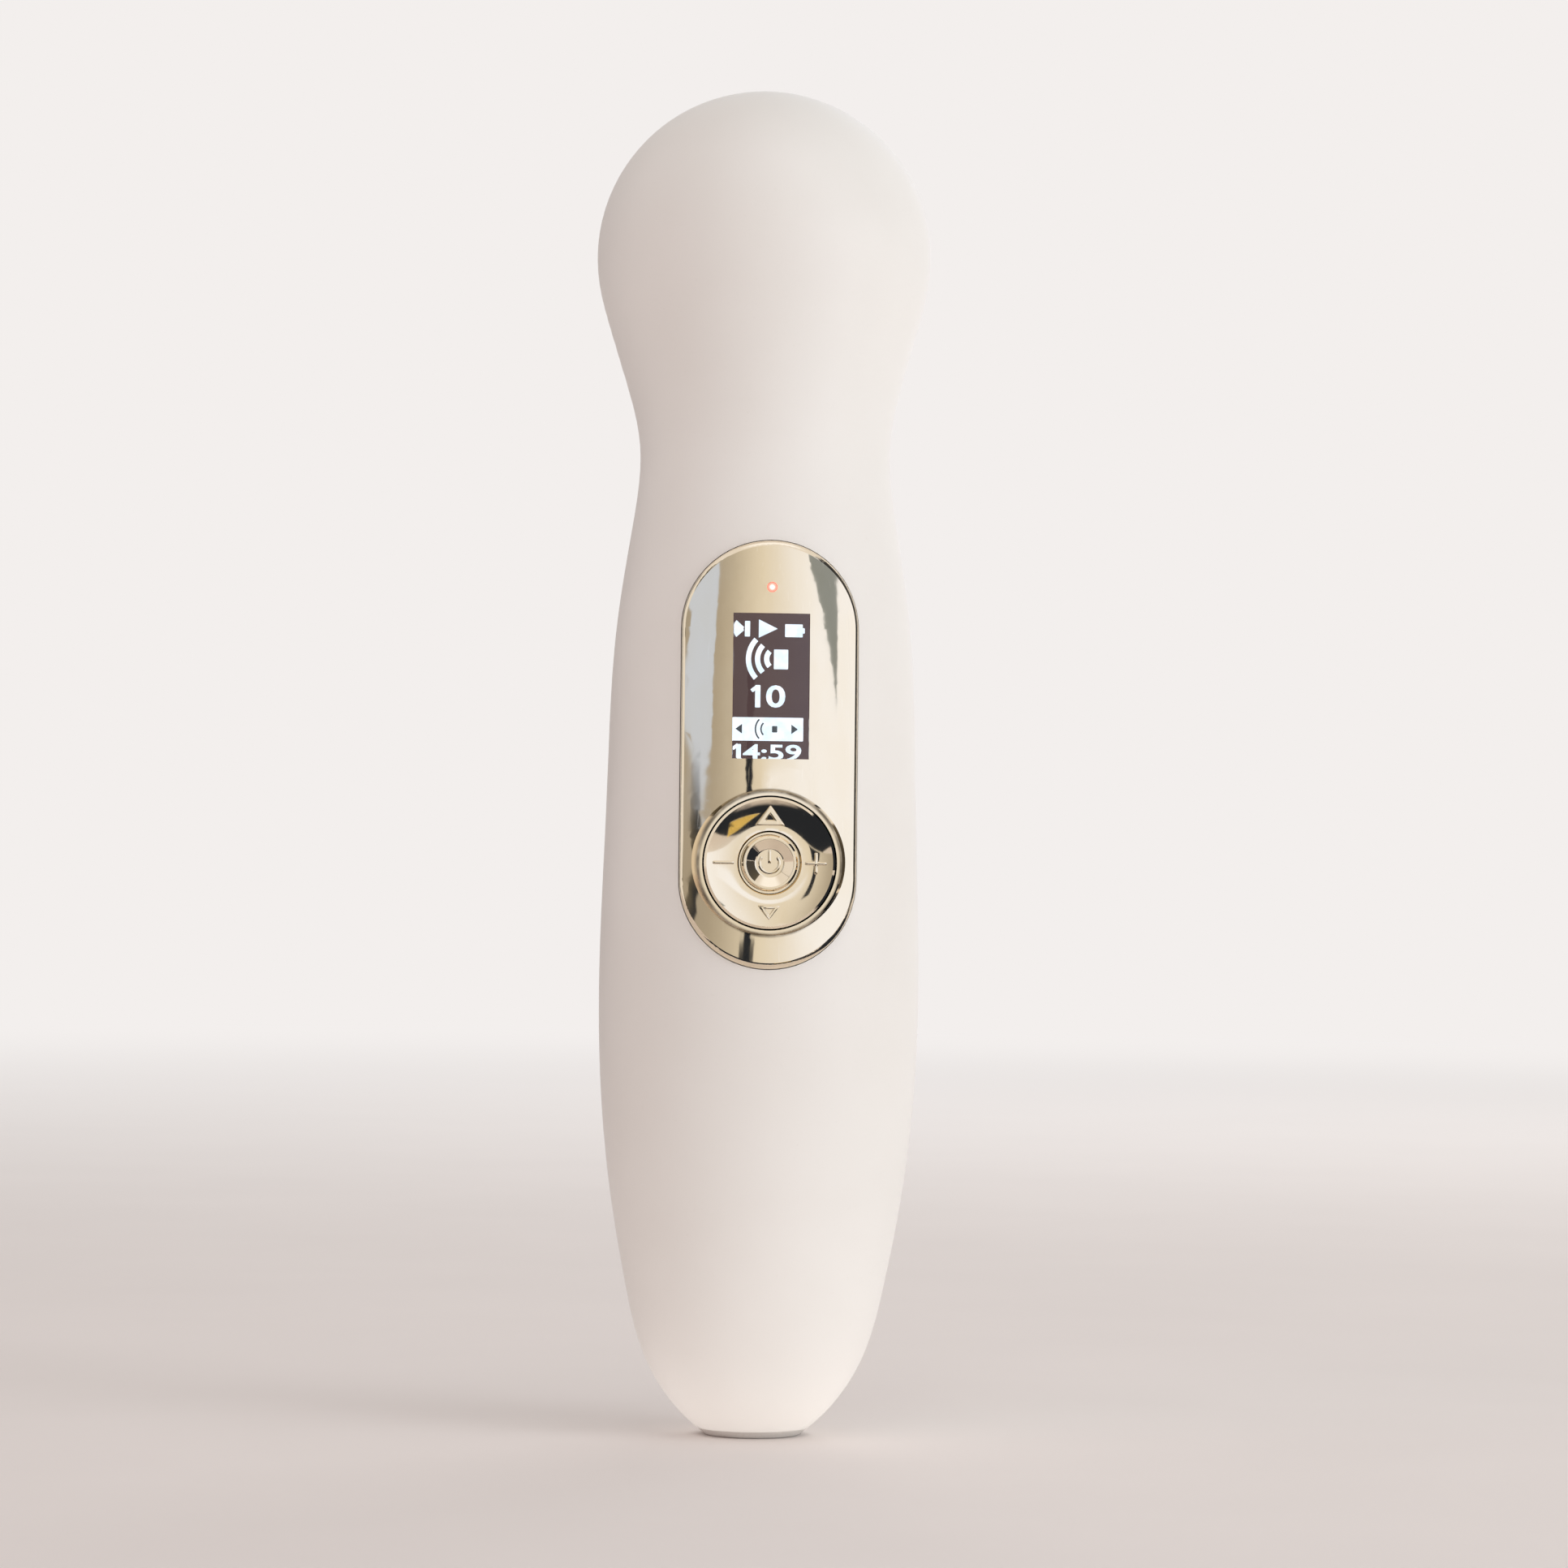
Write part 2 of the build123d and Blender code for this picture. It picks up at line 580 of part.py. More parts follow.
# Pin header that joins the two boards through a slot in the chassis
with BuildPart() as board_link:
    add(slab(0, LINK_Z, 12.7, 2.5, DRIVER_DEPTH, BOARD_DEPTH - BOARD_THICKNESS))
    chamfer(board_link.edges().filter_by(Axis.Y), 0.4)

# Chassis: cradle for the cell, plate for the boards and a tongue for the charging board
with BuildPart() as chassis:
    with BuildSketch(front_plane(CHASSIS_BACK_DEPTH)):
        with BuildLine():
            Polyline(
                (-16.4, 77.5),
                (16.4, 77.5),
                (16.4, 110.0),
                (13.4, CHASSIS_TOP_Z),
                (-13.4, CHASSIS_TOP_Z),
                (-16.4, 110.0),
                close=True,
            )
        make_face()
    extrude(amount=CHASSIS_DEPTH - CHASSIS_BACK_DEPTH)
    fillet(chassis.edges().filter_by(Axis.Y), 1.5)
    with BuildSketch(cell_plane.offset(CRADLE_LOW_Z)):
        Circle(CRADLE_OUTER)
        with Locations((0, 12)):
            Rectangle(40, 24, mode=Mode.SUBTRACT)
    extrude(amount=CELL_HIGH_Z + 1.8 - CRADLE_LOW_Z)
    with BuildSketch(cell_plane.offset(CRADLE_LOW_Z + 1.5)):
        Circle(CRADLE_INNER)
    extrude(amount=CELL_HIGH_Z + 2 - CRADLE_LOW_Z, mode=Mode.SUBTRACT)
    for x, z in BOARD_SCREWS + BOARD_RESTS:
        add(post(x, z, 2.0, CHASSIS_DEPTH - 0.5, BOARD_DEPTH - BOARD_THICKNESS))
    for x, z in DRIVER_SCREWS:
        add(post(x, z, 2.0, DRIVER_DEPTH, CHASSIS_BACK_DEPTH + 0.5))
    for screw_z, seat_depth in SHELL_SCREWS:
        add(post(0, screw_z, 2.4, CHASSIS_BACK_DEPTH - 0.4, seat_depth - 0.05))
        add(post(0, screw_z, SCREW_PILOT, seat_depth - 5.5, 40), mode=Mode.SUBTRACT)
    for x, z in BOARD_SCREWS:
        add(post(x, z, SCREW_PILOT, CHASSIS_DEPTH - 0.4, 40), mode=Mode.SUBTRACT)
    for x, z in DRIVER_SCREWS:
        add(post(x, z, SCREW_PILOT, 0, CHASSIS_BACK_DEPTH + 0.6), mode=Mode.SUBTRACT)
    for x, z in CHASSIS_SCREWS:
        add(post(x, z, SCREW_CLEARANCE, 0, 40), mode=Mode.SUBTRACT)
    add(slab(0, LINK_Z, 14.0, 3.6, 0, 40), mode=Mode.SUBTRACT)
    with BuildSketch(front_plane(0)):
        with Locations(*[(0, z) for z in CRADLE_WINDOWS]):
            SlotOverall(13, 7)
    extrude(amount=20, mode=Mode.SUBTRACT)
    with Locations((0, CHARGE_BOARD_Y + CHARGE_BOARD_THICKNESS + 0.8, 3.2)):
        Box(CHARGE_BOARD_WIDTH, 1.5, CRADLE_LOW_Z - 3.2, align=BASE)
    with Locations((0, 1.0, CRADLE_LOW_Z)):
        Box(2 * CRADLE_OUTER, 6.5, 1.5, align=BASE)

# Ultrasonic driver board: transformer, inductor, transistors and capacitors face the rear
with BuildPart() as driver_board:
    with BuildSketch(front_plane(DRIVER_DEPTH - DRIVER_THICKNESS)):
        with Locations((0, (DRIVER_LOW_Z + DRIVER_HIGH_Z) / 2)):
            RectangleRounded(DRIVER_WIDTH, DRIVER_HIGH_Z - DRIVER_LOW_Z, 1.5)
        with Locations(*DRIVER_SCREWS):
            Circle(SCREW_CLEARANCE, mode=Mode.SUBTRACT)
    extrude(amount=DRIVER_THICKNESS)

driver_back_depth = DRIVER_DEPTH - DRIVER_THICKNESS
with BuildPart() as transformer_core:
    add(slab(0, TRANSFORMER_Z, 13.0, 12.6, driver_back_depth - 9.5, driver_back_depth - 3.5))
    for side in (1, -1):
        add(slab(side * 3.6, TRANSFORMER_Z, 3.4, 8.6, -40, 40), mode=Mode.SUBTRACT)
    chamfer(transformer_core.edges().filter_by(Axis.Y).group_by(Axis.X)[-1], 0.4)
    chamfer(transformer_core.edges().filter_by(Axis.Y).group_by(Axis.X)[0], 0.4)

with BuildPart() as transformer_coil:
    with BuildSketch(Plane((0, -driver_back_depth + 6.5, TRANSFORMER_Z - 4.2))):
        RectangleRounded(10.0, 13.0, 1.5)
        Rectangle(3.9, 6.1, mode=Mode.SUBTRACT)
    extrude(amount=8.4)

with BuildPart() as boost_inductor:
    with BuildSketch(Plane((0, -driver_back_depth, 0), x_dir=(1, 0, 0), z_dir=(0, 1, 0))):
        with Locations((5.4, -103.6)):
            Circle(2.9)
    extrude(amount=1.0)
    with BuildSketch(Plane((0, -driver_back_depth + 1.0, 0), x_dir=(1, 0, 0), z_dir=(0, 1, 0))):
        with Locations((5.4, -103.6)):
            Circle(2.3)
    extrude(amount=2.0)
    with BuildSketch(Plane((0, -driver_back_depth + 3.0, 0), x_dir=(1, 0, 0), z_dir=(0, 1, 0))):
        with Locations((5.4, -103.6)):
            Circle(2.9)
    extrude(amount=1.0)

with BuildPart() as power_transistors:
    for x in (-5.6, -1.0):
        add(slab(x, 103.0, 4.0, 5.0, driver_back_depth - 1.5, driver_back_depth))
        add(slab(x, 106.0, 3.0, 1.4, driver_back_depth - 0.5, driver_back_depth))

with BuildPart() as driver_capacitors:
    for x in (-6.9, 6.9):
        add(post(x, 125.0, 1.9, driver_back_depth - 6.0, driver_back_depth))
    fillet(driver_capacitors.faces().sort_by(Axis.Y)[-2:].edges(), 0.3)

# Cell with its welded tabs and a foam pad that keeps it in the cradle
with BuildPart(cell_plane) as battery_cell:
    with Locations((0, 0, CELL_LOW_Z)):
        Cylinder(CELL_RADIUS, CELL_HIGH_Z - CELL_LOW_Z, align=BASE)
    fillet(battery_cell.edges().filter_by(GeomType.CIRCLE), 0.6)

# A short tab on the upper end, and a strap that brings the lower end up the back of the cell
cell_back_y = CELL_Y + CELL_RADIUS + 0.02
with BuildPart() as battery_tabs:
    with Locations((0, CELL_Y, CELL_HIGH_Z)):
        Box(5, 8, TAB_THICKNESS, align=BASE)
    with BuildSketch(Plane.YZ):
        with BuildLine():
            Polyline(
                (CELL_Y - 3, CELL_LOW_Z),
                (cell_back_y, CELL_LOW_Z),
                (cell_back_y, CELL_HIGH_Z + 2.0),
                (cell_back_y + TAB_THICKNESS, CELL_HIGH_Z + 2.0),
                (cell_back_y + TAB_THICKNESS, CELL_LOW_Z - TAB_THICKNESS),
                (CELL_Y - 3, CELL_LOW_Z - TAB_THICKNESS),
                close=True,
            )
        make_face()
    extrude(amount=2.5, both=True)

pad_front_y = cell_back_y + TAB_THICKNESS
with BuildPart() as battery_foam_pad:
    with Locations((0, pad_front_y, 55.0)):
        Box(10, 13.2 - pad_front_y, 34, align=(Align.CENTER, Align.MIN, Align.CENTER))

# Leads, each a run of straight stretches and wide bends in a plane of its own
top_tab_z = CELL_HIGH_Z + TAB_THICKNESS
strap_y = cell_back_y + TAB_THICKNESS / 2
strap_z = CELL_HIGH_Z + 2.0
board_back_y = -driver_back_depth
piezo_back = face_centre + face_normal * (PROBE_HEIGHT - PROBE_PLATE - PIEZO_THICKNESS)
piezo_bend = piezo_back - face_normal * 10.6
led_pad = face_plane.from_local_coords((0, -15.34, LED_BOARD_TOP - LED_BOARD_THICKNESS))
led_bend = led_pad - face_normal * 7.0

with BuildPart() as battery_leads:
    add(lead(-2.0, [(CELL_Y + 1.5, top_tab_z), (CELL_Y + 1.5, 92.0), (-1.0, 98.0), (board_back_y, 98.0)]))
    add(lead(2.0, [(strap_y, strap_z), (strap_y, 93.0), (1.0, 98.0), (board_back_y, 98.0)]))

with BuildPart() as transducer_leads:
    for x in (-3.2, 3.2):
        add(
            lead(
                x,
                [
                    (piezo_back.Y, piezo_back.Z),
                    (piezo_bend.Y, piezo_bend.Z),
                    (3.0, 152.0),
                    (-0.5, 124.4),
                    (board_back_y, 124.4),
                ],
            )
        )

with BuildPart() as led_leads:
    for x in (-5.2, 5.2):
        add(
            lead(
                x,
                [
                    (led_pad.Y, led_pad.Z),
                    (led_bend.Y, led_bend.Z),
                    (5.0, 150.0),
                    (0.6, 128.0),
                    (board_back_y, 128.0),
                ],
            )
        )

# Charging board with its socket and charger chip
with BuildPart() as charge_board:
    with Locations((0, CHARGE_BOARD_Y, 2.5)):
        Box(CHARGE_BOARD_WIDTH, CHARGE_BOARD_THICKNESS, 12.4, align=(Align.CENTER, Align.MIN, Align.MIN))

with BuildPart() as charge_chip:
    with Locations((0, CHARGE_BOARD_Y, 11.6)):
        Box(3.5, 1.0, 3.5, align=(Align.CENTER, Align.MAX, Align.CENTER))

with BuildPart() as charge_port_shell:
    with BuildSketch(Plane.XY.offset(PORT_LOW_Z)):
        SlotOverall(PORT_WIDTH, PORT_THICKNESS)
    extrude(amount=PORT_HIGH_Z - PORT_LOW_Z)
    with BuildSketch(Plane.XY.offset(PORT_LOW_Z)):
        SlotOverall(PORT_WIDTH - 2 * PORT_SHEET, PORT_THICKNESS - 2 * PORT_SHEET)
    extrude(amount=PORT_HIGH_Z - PORT_LOW_Z - 1.2, mode=Mode.SUBTRACT)

with BuildPart() as charge_port_tongue:
    with Locations((0, 0, PORT_LOW_Z + 1.0)):
        Box(6.5, 0.7, PORT_HIGH_Z - PORT_LOW_Z - 2.2, align=BASE)
    chamfer(charge_port_tongue.faces().sort_by(Axis.Z)[0].edges().filter_by(Axis.Y), 0.4)

# Treatment probe: a metal cup whose flat face touches the skin
probe_foot = CARRIER_TOP
with BuildPart() as treatment_probe:
    add(
        turned(
            face_profile,
            face_axis,
            [
                (0, PROBE_HEIGHT),
                (PROBE_RADIUS, PROBE_HEIGHT),
                (PROBE_RADIUS, probe_foot + 1.0),
                (PROBE_FOOT_RADIUS, probe_foot + 1.0),
                (PROBE_FOOT_RADIUS, probe_foot),
                (PROBE_SKIRT_INNER, probe_foot),
                (PROBE_SKIRT_INNER, PROBE_HEIGHT - PROBE_PLATE),
                (0, PROBE_HEIGHT - PROBE_PLATE),
            ],
        )
    )
    fillet(treatment_probe.edges().sort_by(face_axis)[-1], 1.0)

with BuildPart(face_plane.offset(PROBE_HEIGHT - PROBE_PLATE)) as piezo_disc:
    Cylinder(PIEZO_RADIUS, PIEZO_THICKNESS, align=(Align.CENTER, Align.CENTER, Align.MAX))

with BuildPart() as probe_gasket:
    add(
        turned(
            face_profile,
            face_axis,
            [
                (PROBE_RADIUS + 0.05, probe_foot + 1.05),
                (GASKET_OUTER, probe_foot + 1.05),
                (GASKET_OUTER, 0.7),
                (PROBE_RADIUS + 0.5, 1.1),
                (PROBE_RADIUS + 0.05, 1.1),
            ],
        )
    )

# Clear light ring with a softly domed face
with BuildPart() as light_ring:
    with BuildSketch(face_profile):
        with BuildLine():
            crown = ThreePointArc((LIGHT_RING_INNER, 0.5), (16.8, 1.0), (LIGHT_RING_OUTER, 0.5))
            Polyline(
                crown @ 1,
                (LIGHT_RING_OUTER, -2.4),
                (LIGHT_RING_INNER, -2.4),
                crown @ 0,
            )
        make_face()
    revolve(axis=face_axis)

with BuildPart(face_plane.offset(FLANGE_TOP)) as head_seal:
    Cylinder(LIGHT_RING_OUTER, 0.58, align=BASE)
    Hole(FLANGE_INNER + 0.05)

with BuildPart() as head_rim_ring:
    add(
        turned(
            face_profile,
            face_axis,
            [
                (SLEEVE_INNER, FLANGE_TOP),
                (SLEEVE_OUTER, FLANGE_TOP),
                (SLEEVE_OUTER, 0.02),
                (RIM_RING_RADIUS, 0.02),
                (RIM_RING_RADIUS, 0.5),
                (RIM_RING_RADIUS - 0.8, RIM_RING_HEIGHT),
                (SLEEVE_INNER + 0.4, RIM_RING_HEIGHT),
                (SLEEVE_INNER, RIM_RING_HEIGHT - 0.4),
            ],
        )
    )

with BuildPart(face_plane.offset(LED_BOARD_TOP)) as led_board:
    Cylinder(17.55, LED_BOARD_THICKNESS, align=(Align.CENTER, Align.CENTER, Align.MAX))
    Hole(LIGHT_RING_INNER)

with BuildPart() as red_leds:
    with BuildSketch(face_plane.offset(LED_BOARD_TOP)):
        with PolarLocations(LED_CIRCLE_RADIUS, LED_COUNT):
            Rectangle(2.0, 2.0)
    extrude(amount=0.8)
    with BuildSketch(face_plane.offset(LED_BOARD_TOP + 0.8)):
        with PolarLocations(LED_CIRCLE_RADIUS, LED_COUNT):
            Circle(0.8)
    extrude(amount=0.5)

# Carrier plate that clamps the probe and the LED board against the flange
with BuildPart() as head_carrier:
    with BuildSketch(face_plane.offset(CARRIER_TOP)):
        Circle(CARRIER_RADIUS)
        Circle(CARRIER_BORE, mode=Mode.SUBTRACT)
        with PolarLocations(CARRIER_SCREW_CIRCLE, 3, start_angle=90):
            Circle(0.75, mode=Mode.SUBTRACT)
        with Locations((-5.2, -15.34), (5.2, -15.34)):
            Circle(1.3, mode=Mode.SUBTRACT)
    extrude(amount=-CARRIER_THICKNESS)
    with BuildSketch(face_plane.offset(CARRIER_TOP)):
        with PolarLocations(CARRIER_SCREW_CIRCLE, 3, start_angle=90):
            Circle(1.3)
            Circle(0.75, mode=Mode.SUBTRACT)
    extrude(amount=FLANGE_TOP - FLANGE_THICKNESS - CARRIER_TOP)

with BuildPart() as carrier_screws:
    with BuildSketch(face_plane.offset(CARRIER_TOP - CARRIER_THICKNESS)):
        with PolarLocations(CARRIER_SCREW_CIRCLE, 3, start_angle=90):
            Circle(1.3)
    extrude(amount=-0.9)
    with BuildSketch(face_plane.offset(CARRIER_TOP - CARRIER_THICKNESS)):
        with PolarLocations(CARRIER_SCREW_CIRCLE, 3, start_angle=90):
            Circle(0.65)
    extrude(amount=FLANGE_TOP - 0.5 - CARRIER_TOP + CARRIER_THICKNESS)

# Fasteners along Y
with BuildPart() as shell_screws:
    for screw_z, seat_depth in SHELL_SCREWS:
        add(screw(0, screw_z, seat_depth + 1.0, 6.0))

with BuildPart() as chassis_screws:
    for x, z in CHASSIS_SCREWS:
        add(screw(x, z, CHASSIS_DEPTH, 8.0))

with BuildPart() as board_screws:
    for x, z in BOARD_SCREWS:
        add(screw(x, z, BOARD_DEPTH, 3.4))
    for x, z in DRIVER_SCREWS:
        add(screw(x, z, driver_back_depth, 3.4, facing=-1))

pieces = {
    "front_shell": front_shell,
    "rear_shell": rear_shell,
    "control_bezel": control_bezel,
    "bezel_adhesive": bezel_adhesive,
    "key_ring": key_ring,
    "key_gimbal": key_gimbal,
    "power_button": power_button,
    "keypad_mat": keypad_mat,
    "tact_switches": tact_switches,
    "display_lens": display_lens,
    "display_panel": display_panel,
    "display_bracket": display_bracket,
    "display_ribbon": display_ribbon,
    "ribbon_connector": ribbon_connector,
    "indicator_light_pipe": indicator_light_pipe,
    "indicator_led": indicator_led,
    "main_board": main_board,
    "controller_chips": controller_chips,
    "board_link": board_link,
    "chassis": chassis,
    "driver_board": driver_board,
    "transformer_core": transformer_core,
    "transformer_coil": transformer_coil,
    "boost_inductor": boost_inductor,
    "power_transistors": power_transistors,
    "driver_capacitors": driver_capacitors,
    "battery_cell": battery_cell,
    "battery_tabs": battery_tabs,
    "battery_foam_pad": battery_foam_pad,
    "battery_leads": battery_leads,
    "transducer_leads": transducer_leads,
    "led_leads": led_leads,
    "charge_board": charge_board,
    "charge_chip": charge_chip,
    "charge_port_shell": charge_port_shell,
    "charge_port_tongue": charge_port_tongue,
    "treatment_probe": treatment_probe,
    "piezo_disc": piezo_disc,
    "probe_gasket": probe_gasket,
    "light_ring": light_ring,
    "head_seal": head_seal,
    "head_rim_ring": head_rim_ring,
    "led_board": led_board,
    "red_leds": red_leds,
    "head_carrier": head_carrier,
    "carrier_screws": carrier_screws,
    "shell_screws": shell_screws,
    "chassis_screws": chassis_screws,
    "board_screws": board_screws,
}
os.makedirs("parts", exist_ok=True)
for name, piece in pieces.items():
    piece.part.label = name
    export_step(piece.part, f"parts/{name}.step")
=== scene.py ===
"""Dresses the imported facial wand: finishes for every piece, raised signs, and the lit display."""
import json
import logging
import math
from collections.abc import Callable
from dataclasses import dataclass, field
from enum import Enum

import bmesh
import bpy
from mathutils import Matrix, Vector


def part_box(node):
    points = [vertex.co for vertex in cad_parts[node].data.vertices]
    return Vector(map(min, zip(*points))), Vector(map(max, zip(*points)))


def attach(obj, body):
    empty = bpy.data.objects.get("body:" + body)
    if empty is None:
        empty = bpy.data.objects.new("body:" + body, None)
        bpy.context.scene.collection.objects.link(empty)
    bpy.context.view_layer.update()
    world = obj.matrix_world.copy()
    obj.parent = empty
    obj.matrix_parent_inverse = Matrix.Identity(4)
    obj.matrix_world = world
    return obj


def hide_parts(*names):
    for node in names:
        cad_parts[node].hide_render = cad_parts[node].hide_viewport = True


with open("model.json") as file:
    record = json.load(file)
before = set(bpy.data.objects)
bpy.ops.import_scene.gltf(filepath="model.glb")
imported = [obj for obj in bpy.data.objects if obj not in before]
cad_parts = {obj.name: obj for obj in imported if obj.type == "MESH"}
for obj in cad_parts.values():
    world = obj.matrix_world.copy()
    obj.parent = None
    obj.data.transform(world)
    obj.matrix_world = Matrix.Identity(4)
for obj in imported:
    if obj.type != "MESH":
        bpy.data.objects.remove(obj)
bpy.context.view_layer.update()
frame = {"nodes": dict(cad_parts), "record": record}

MM = 0.001
LOG = logging.getLogger("facial_wand")

# Places that the CAD source gives, in millimetres; a depth is a distance in front, towards -Y
KEY_Z = 86.3
INDICATOR_Z = 126.8
DISPLAY_DEPTH = 17.6
FACE_CENTRE = Vector((0.0, 21.605, 180.457))
FACE_TILT = math.radians(12.0)
LED_COUNT = 12
LED_CIRCLE = 16.3
PIXEL_RATE = 41.0  # radians of the pixel pattern in a millimetre


class Body(Enum):
    """The moving bodies that pieces ride on."""

    HOUSING = "housing"
    KEY = "key"
    POWER = "power"


class Part(Enum):
    """What is picked in edit mode."""

    VERTS = "VERT"
    EDGES = "EDGE"
    FACES = "FACE"


# ---------------------------------------------------------------- shader maths


class Value:
    """A number that varies over a surface; arithmetic on it adds Math nodes."""

    def __init__(self, nodes: "Nodes", socket: bpy.types.NodeSocket) -> None:
        """Wraps one output socket of a node tree."""
        self.nodes = nodes
        self.socket = socket

    def maths(self, operation: str, *others: "Value | float") -> "Value":
        """Adds one Math node on this value and the operands that follow it."""
        return self.between(operation, self, *others)

    def between(self, operation: str, *operands: "Value | float") -> "Value":
        """Adds one Math node with all its operands given.

        Args:
            operation: The Math node's operation.
            operands: Its operands, in order.

        Returns:
            The node's result.
        """
        sockets = dict(enumerate(operands))
        node = self.nodes.node("ShaderNodeMath", {"operation": operation}, sockets)
        return Value(self.nodes, node.outputs[0])

    def __add__(self, other: "Value | float") -> "Value":
        """Sum."""
        return self.maths("ADD", other)

    def __radd__(self, other: float) -> "Value":
        """Sum, reflected."""
        return self.between("ADD", other, self)

    def __sub__(self, other: "Value | float") -> "Value":
        """Difference."""
        return self.maths("SUBTRACT", other)

    def __rsub__(self, other: float) -> "Value":
        """Difference, reflected."""
        return self.between("SUBTRACT", other, self)

    def __mul__(self, other: "Value | float") -> "Value":
        """Product."""
        return self.maths("MULTIPLY", other)

    def __rmul__(self, other: float) -> "Value":
        """Product, reflected."""
        return self.between("MULTIPLY", other, self)

    def __truediv__(self, other: "Value | float") -> "Value":
        """Quotient."""
        return self.maths("DIVIDE", other)

    def __pow__(self, other: float) -> "Value":
        """Power."""
        return self.maths("POWER", other)

    def __abs__(self) -> "Value":
        """Size without sign."""
        return self.maths("ABSOLUTE")

    def sine(self) -> "Value":
        """Sine of the value in radians."""
        return self.maths("SINE")

    def step(self, start: float, end: float) -> "Value":
        """A smooth step from 0 at start to 1 at end.

        Args:
            start: Where the result is 0.
            end: Where the result is 1; it may be below start.

        Returns:
            The step.
        """
        low, high = min(start, end), max(start, end)
        node = self.nodes.node(
            "ShaderNodeMapRange",
            {"interpolation_type": "SMOOTHSTEP"},
            {"Value": self, "From Min": low, "From Max": high},
        )
        rising = Value(self.nodes, node.outputs["Result"])
        return rising if start < end else 1.0 - rising


def reach(across: Value, up: Value) -> Value:
    """The distance from the place where two coordinates are 0."""
    return (across * across + up * up).maths("SQRT")


class Nodes:
    """A node tree, with the one method that adds nodes to it."""

    def __init__(self, tree: bpy.types.NodeTree) -> None:
        """Takes the tree."""
        self.tree = tree

    def node(
        self, kind: str, settings: dict | None = None, sockets: dict | None = None
    ) -> bpy.types.Node:
        """Adds a node, with its settings first and then its sockets.

        Args:
            kind: The node's type.
            settings: Its properties.
            sockets: Input names or numbers, with values, links or Values.

        Returns:
            The new node.
        """
        made = self.tree.nodes.new(kind)
        for name, setting in (settings or {}).items():
            setattr(made, name, setting)
        for name, value in (sockets or {}).items():
            self.feed(made.inputs[name], value)
        return made

    def feed(self, socket: bpy.types.NodeSocket, value: object) -> None:
        """Links or sets one input.

        Args:
            socket: The input.
            value: A Value, an output socket, a plain number or vector, or a colour as RRGGBB.
        """
        if isinstance(value, str):
            value = shade(value)
        if isinstance(value, Value):
            value = value.socket
        if isinstance(value, bpy.types.NodeSocket):
            self.tree.links.new(value, socket)
        elif socket.type == "RGBA":
            socket.default_value = (*value[:3], 1.0)
        else:
            socket.default_value = value

    def finish(self, kind: str, shader: bpy.types.Node) -> None:
        """Links a shader node to the output node of the given type."""
        output = next(node for node in self.tree.nodes if node.type == kind)
        self.feed(output.inputs["Surface"], shader.outputs[0])


class Shader(Nodes):
    """One material's node tree, read on Object coordinates."""

    def __init__(self, name: str) -> None:
        """Makes the material.

        Args:
            name: Its name.
        """
        self.material = bpy.data.materials.new(name)
        self.material.use_nodes = True
        super().__init__(self.material.node_tree)
        self.surface = next(node for node in self.tree.nodes if node.type == "BSDF_PRINCIPLED")
        self.place = self.node("ShaderNodeTexCoord").outputs["Object"]

    def set(self, **sockets: object) -> None:
        """Feeds inputs of the surface shader; underscores in their names stand for spaces."""
        for name, value in sockets.items():
            self.feed(self.surface.inputs[name.replace("_", " ")], value)

    def noise(self, size: float, detail: float = 2.0, stretch: tuple[float, ...] = ()) -> Value:
        """Soft noise from 0 to 1.

        Args:
            size: The size of its blotches in millimetres.
            detail: How much finer noise is added.
            stretch: How many times longer a blotch is along each axis.

        Returns:
            The noise.
        """
        place = self.place
        if stretch:
            scale = Vector(1.0 / part for part in Vector(stretch))
            place = self.node("ShaderNodeMapping", {}, {"Vector": place, "Scale": scale}).outputs[0]
        sockets = {"Vector": place, "Scale": 1.0 / (size * MM), "Detail": detail}
        return Value(self, self.node("ShaderNodeTexNoise", {}, sockets).outputs[0])

    def cells(self, size: float, feature: str = "F1") -> Value:
        """Distances in a Voronoi pattern.

        Args:
            size: The size of a cell in millimetres.
            feature: The Voronoi feature.

        Returns:
            The distance, about 0 to 1.
        """
        settings = {"feature": feature}
        sockets = {"Vector": self.place, "Scale": 1.0 / (size * MM)}
        return Value(self, self.node("ShaderNodeTexVoronoi", settings, sockets).outputs["Distance"])

    def axes(self, centre: Vector = Vector(), tilt: float = 0.0) -> tuple[Value, Value, Value]:
        """Coordinates in millimetres from a place on the piece.

        Args:
            centre: The place, in millimetres.
            tilt: How far the axes turn about X, in radians.

        Returns:
            The three coordinates.
        """
        places = {0: self.place, 1: centre * MM}
        shift = self.node("ShaderNodeVectorMath", {"operation": "SUBTRACT"}, places)
        turned = self.node(
            "ShaderNodeMapping",
            {},
            {"Vector": shift.outputs[0], "Rotation": (tilt, 0.0, 0.0), "Scale": (1 / MM,) * 3},
        )
        split = self.node("ShaderNodeSeparateXYZ", {}, {0: turned.outputs[0]})
        return tuple(Value(self, output) for output in split.outputs)

    def blend(self, mask: "Value | float", low: object, high: object) -> bpy.types.NodeSocket:
        """Mixes two colours.

        Args:
            mask: 0 for the low colour, 1 for the high one.
            low: A colour or colour output.
            high: A colour or colour output.

        Returns:
            The mixed colour.
        """
        made = self.node("ShaderNodeMix", {"data_type": "RGBA"})
        self.feed(made.inputs[0], mask)
        self.feed(made.inputs[6], low)
        self.feed(made.inputs[7], high)
        return made.outputs[2]

    def relief(self, height: Value, depth: float, strength: float = 1.0) -> None:
        """Bumps the surface; depth is how many millimetres one unit of the height stands up."""
        sockets = {"Height": height, "Distance": depth * MM, "Strength": strength}
        self.set(Normal=self.node("ShaderNodeBump", {}, sockets).outputs[0])


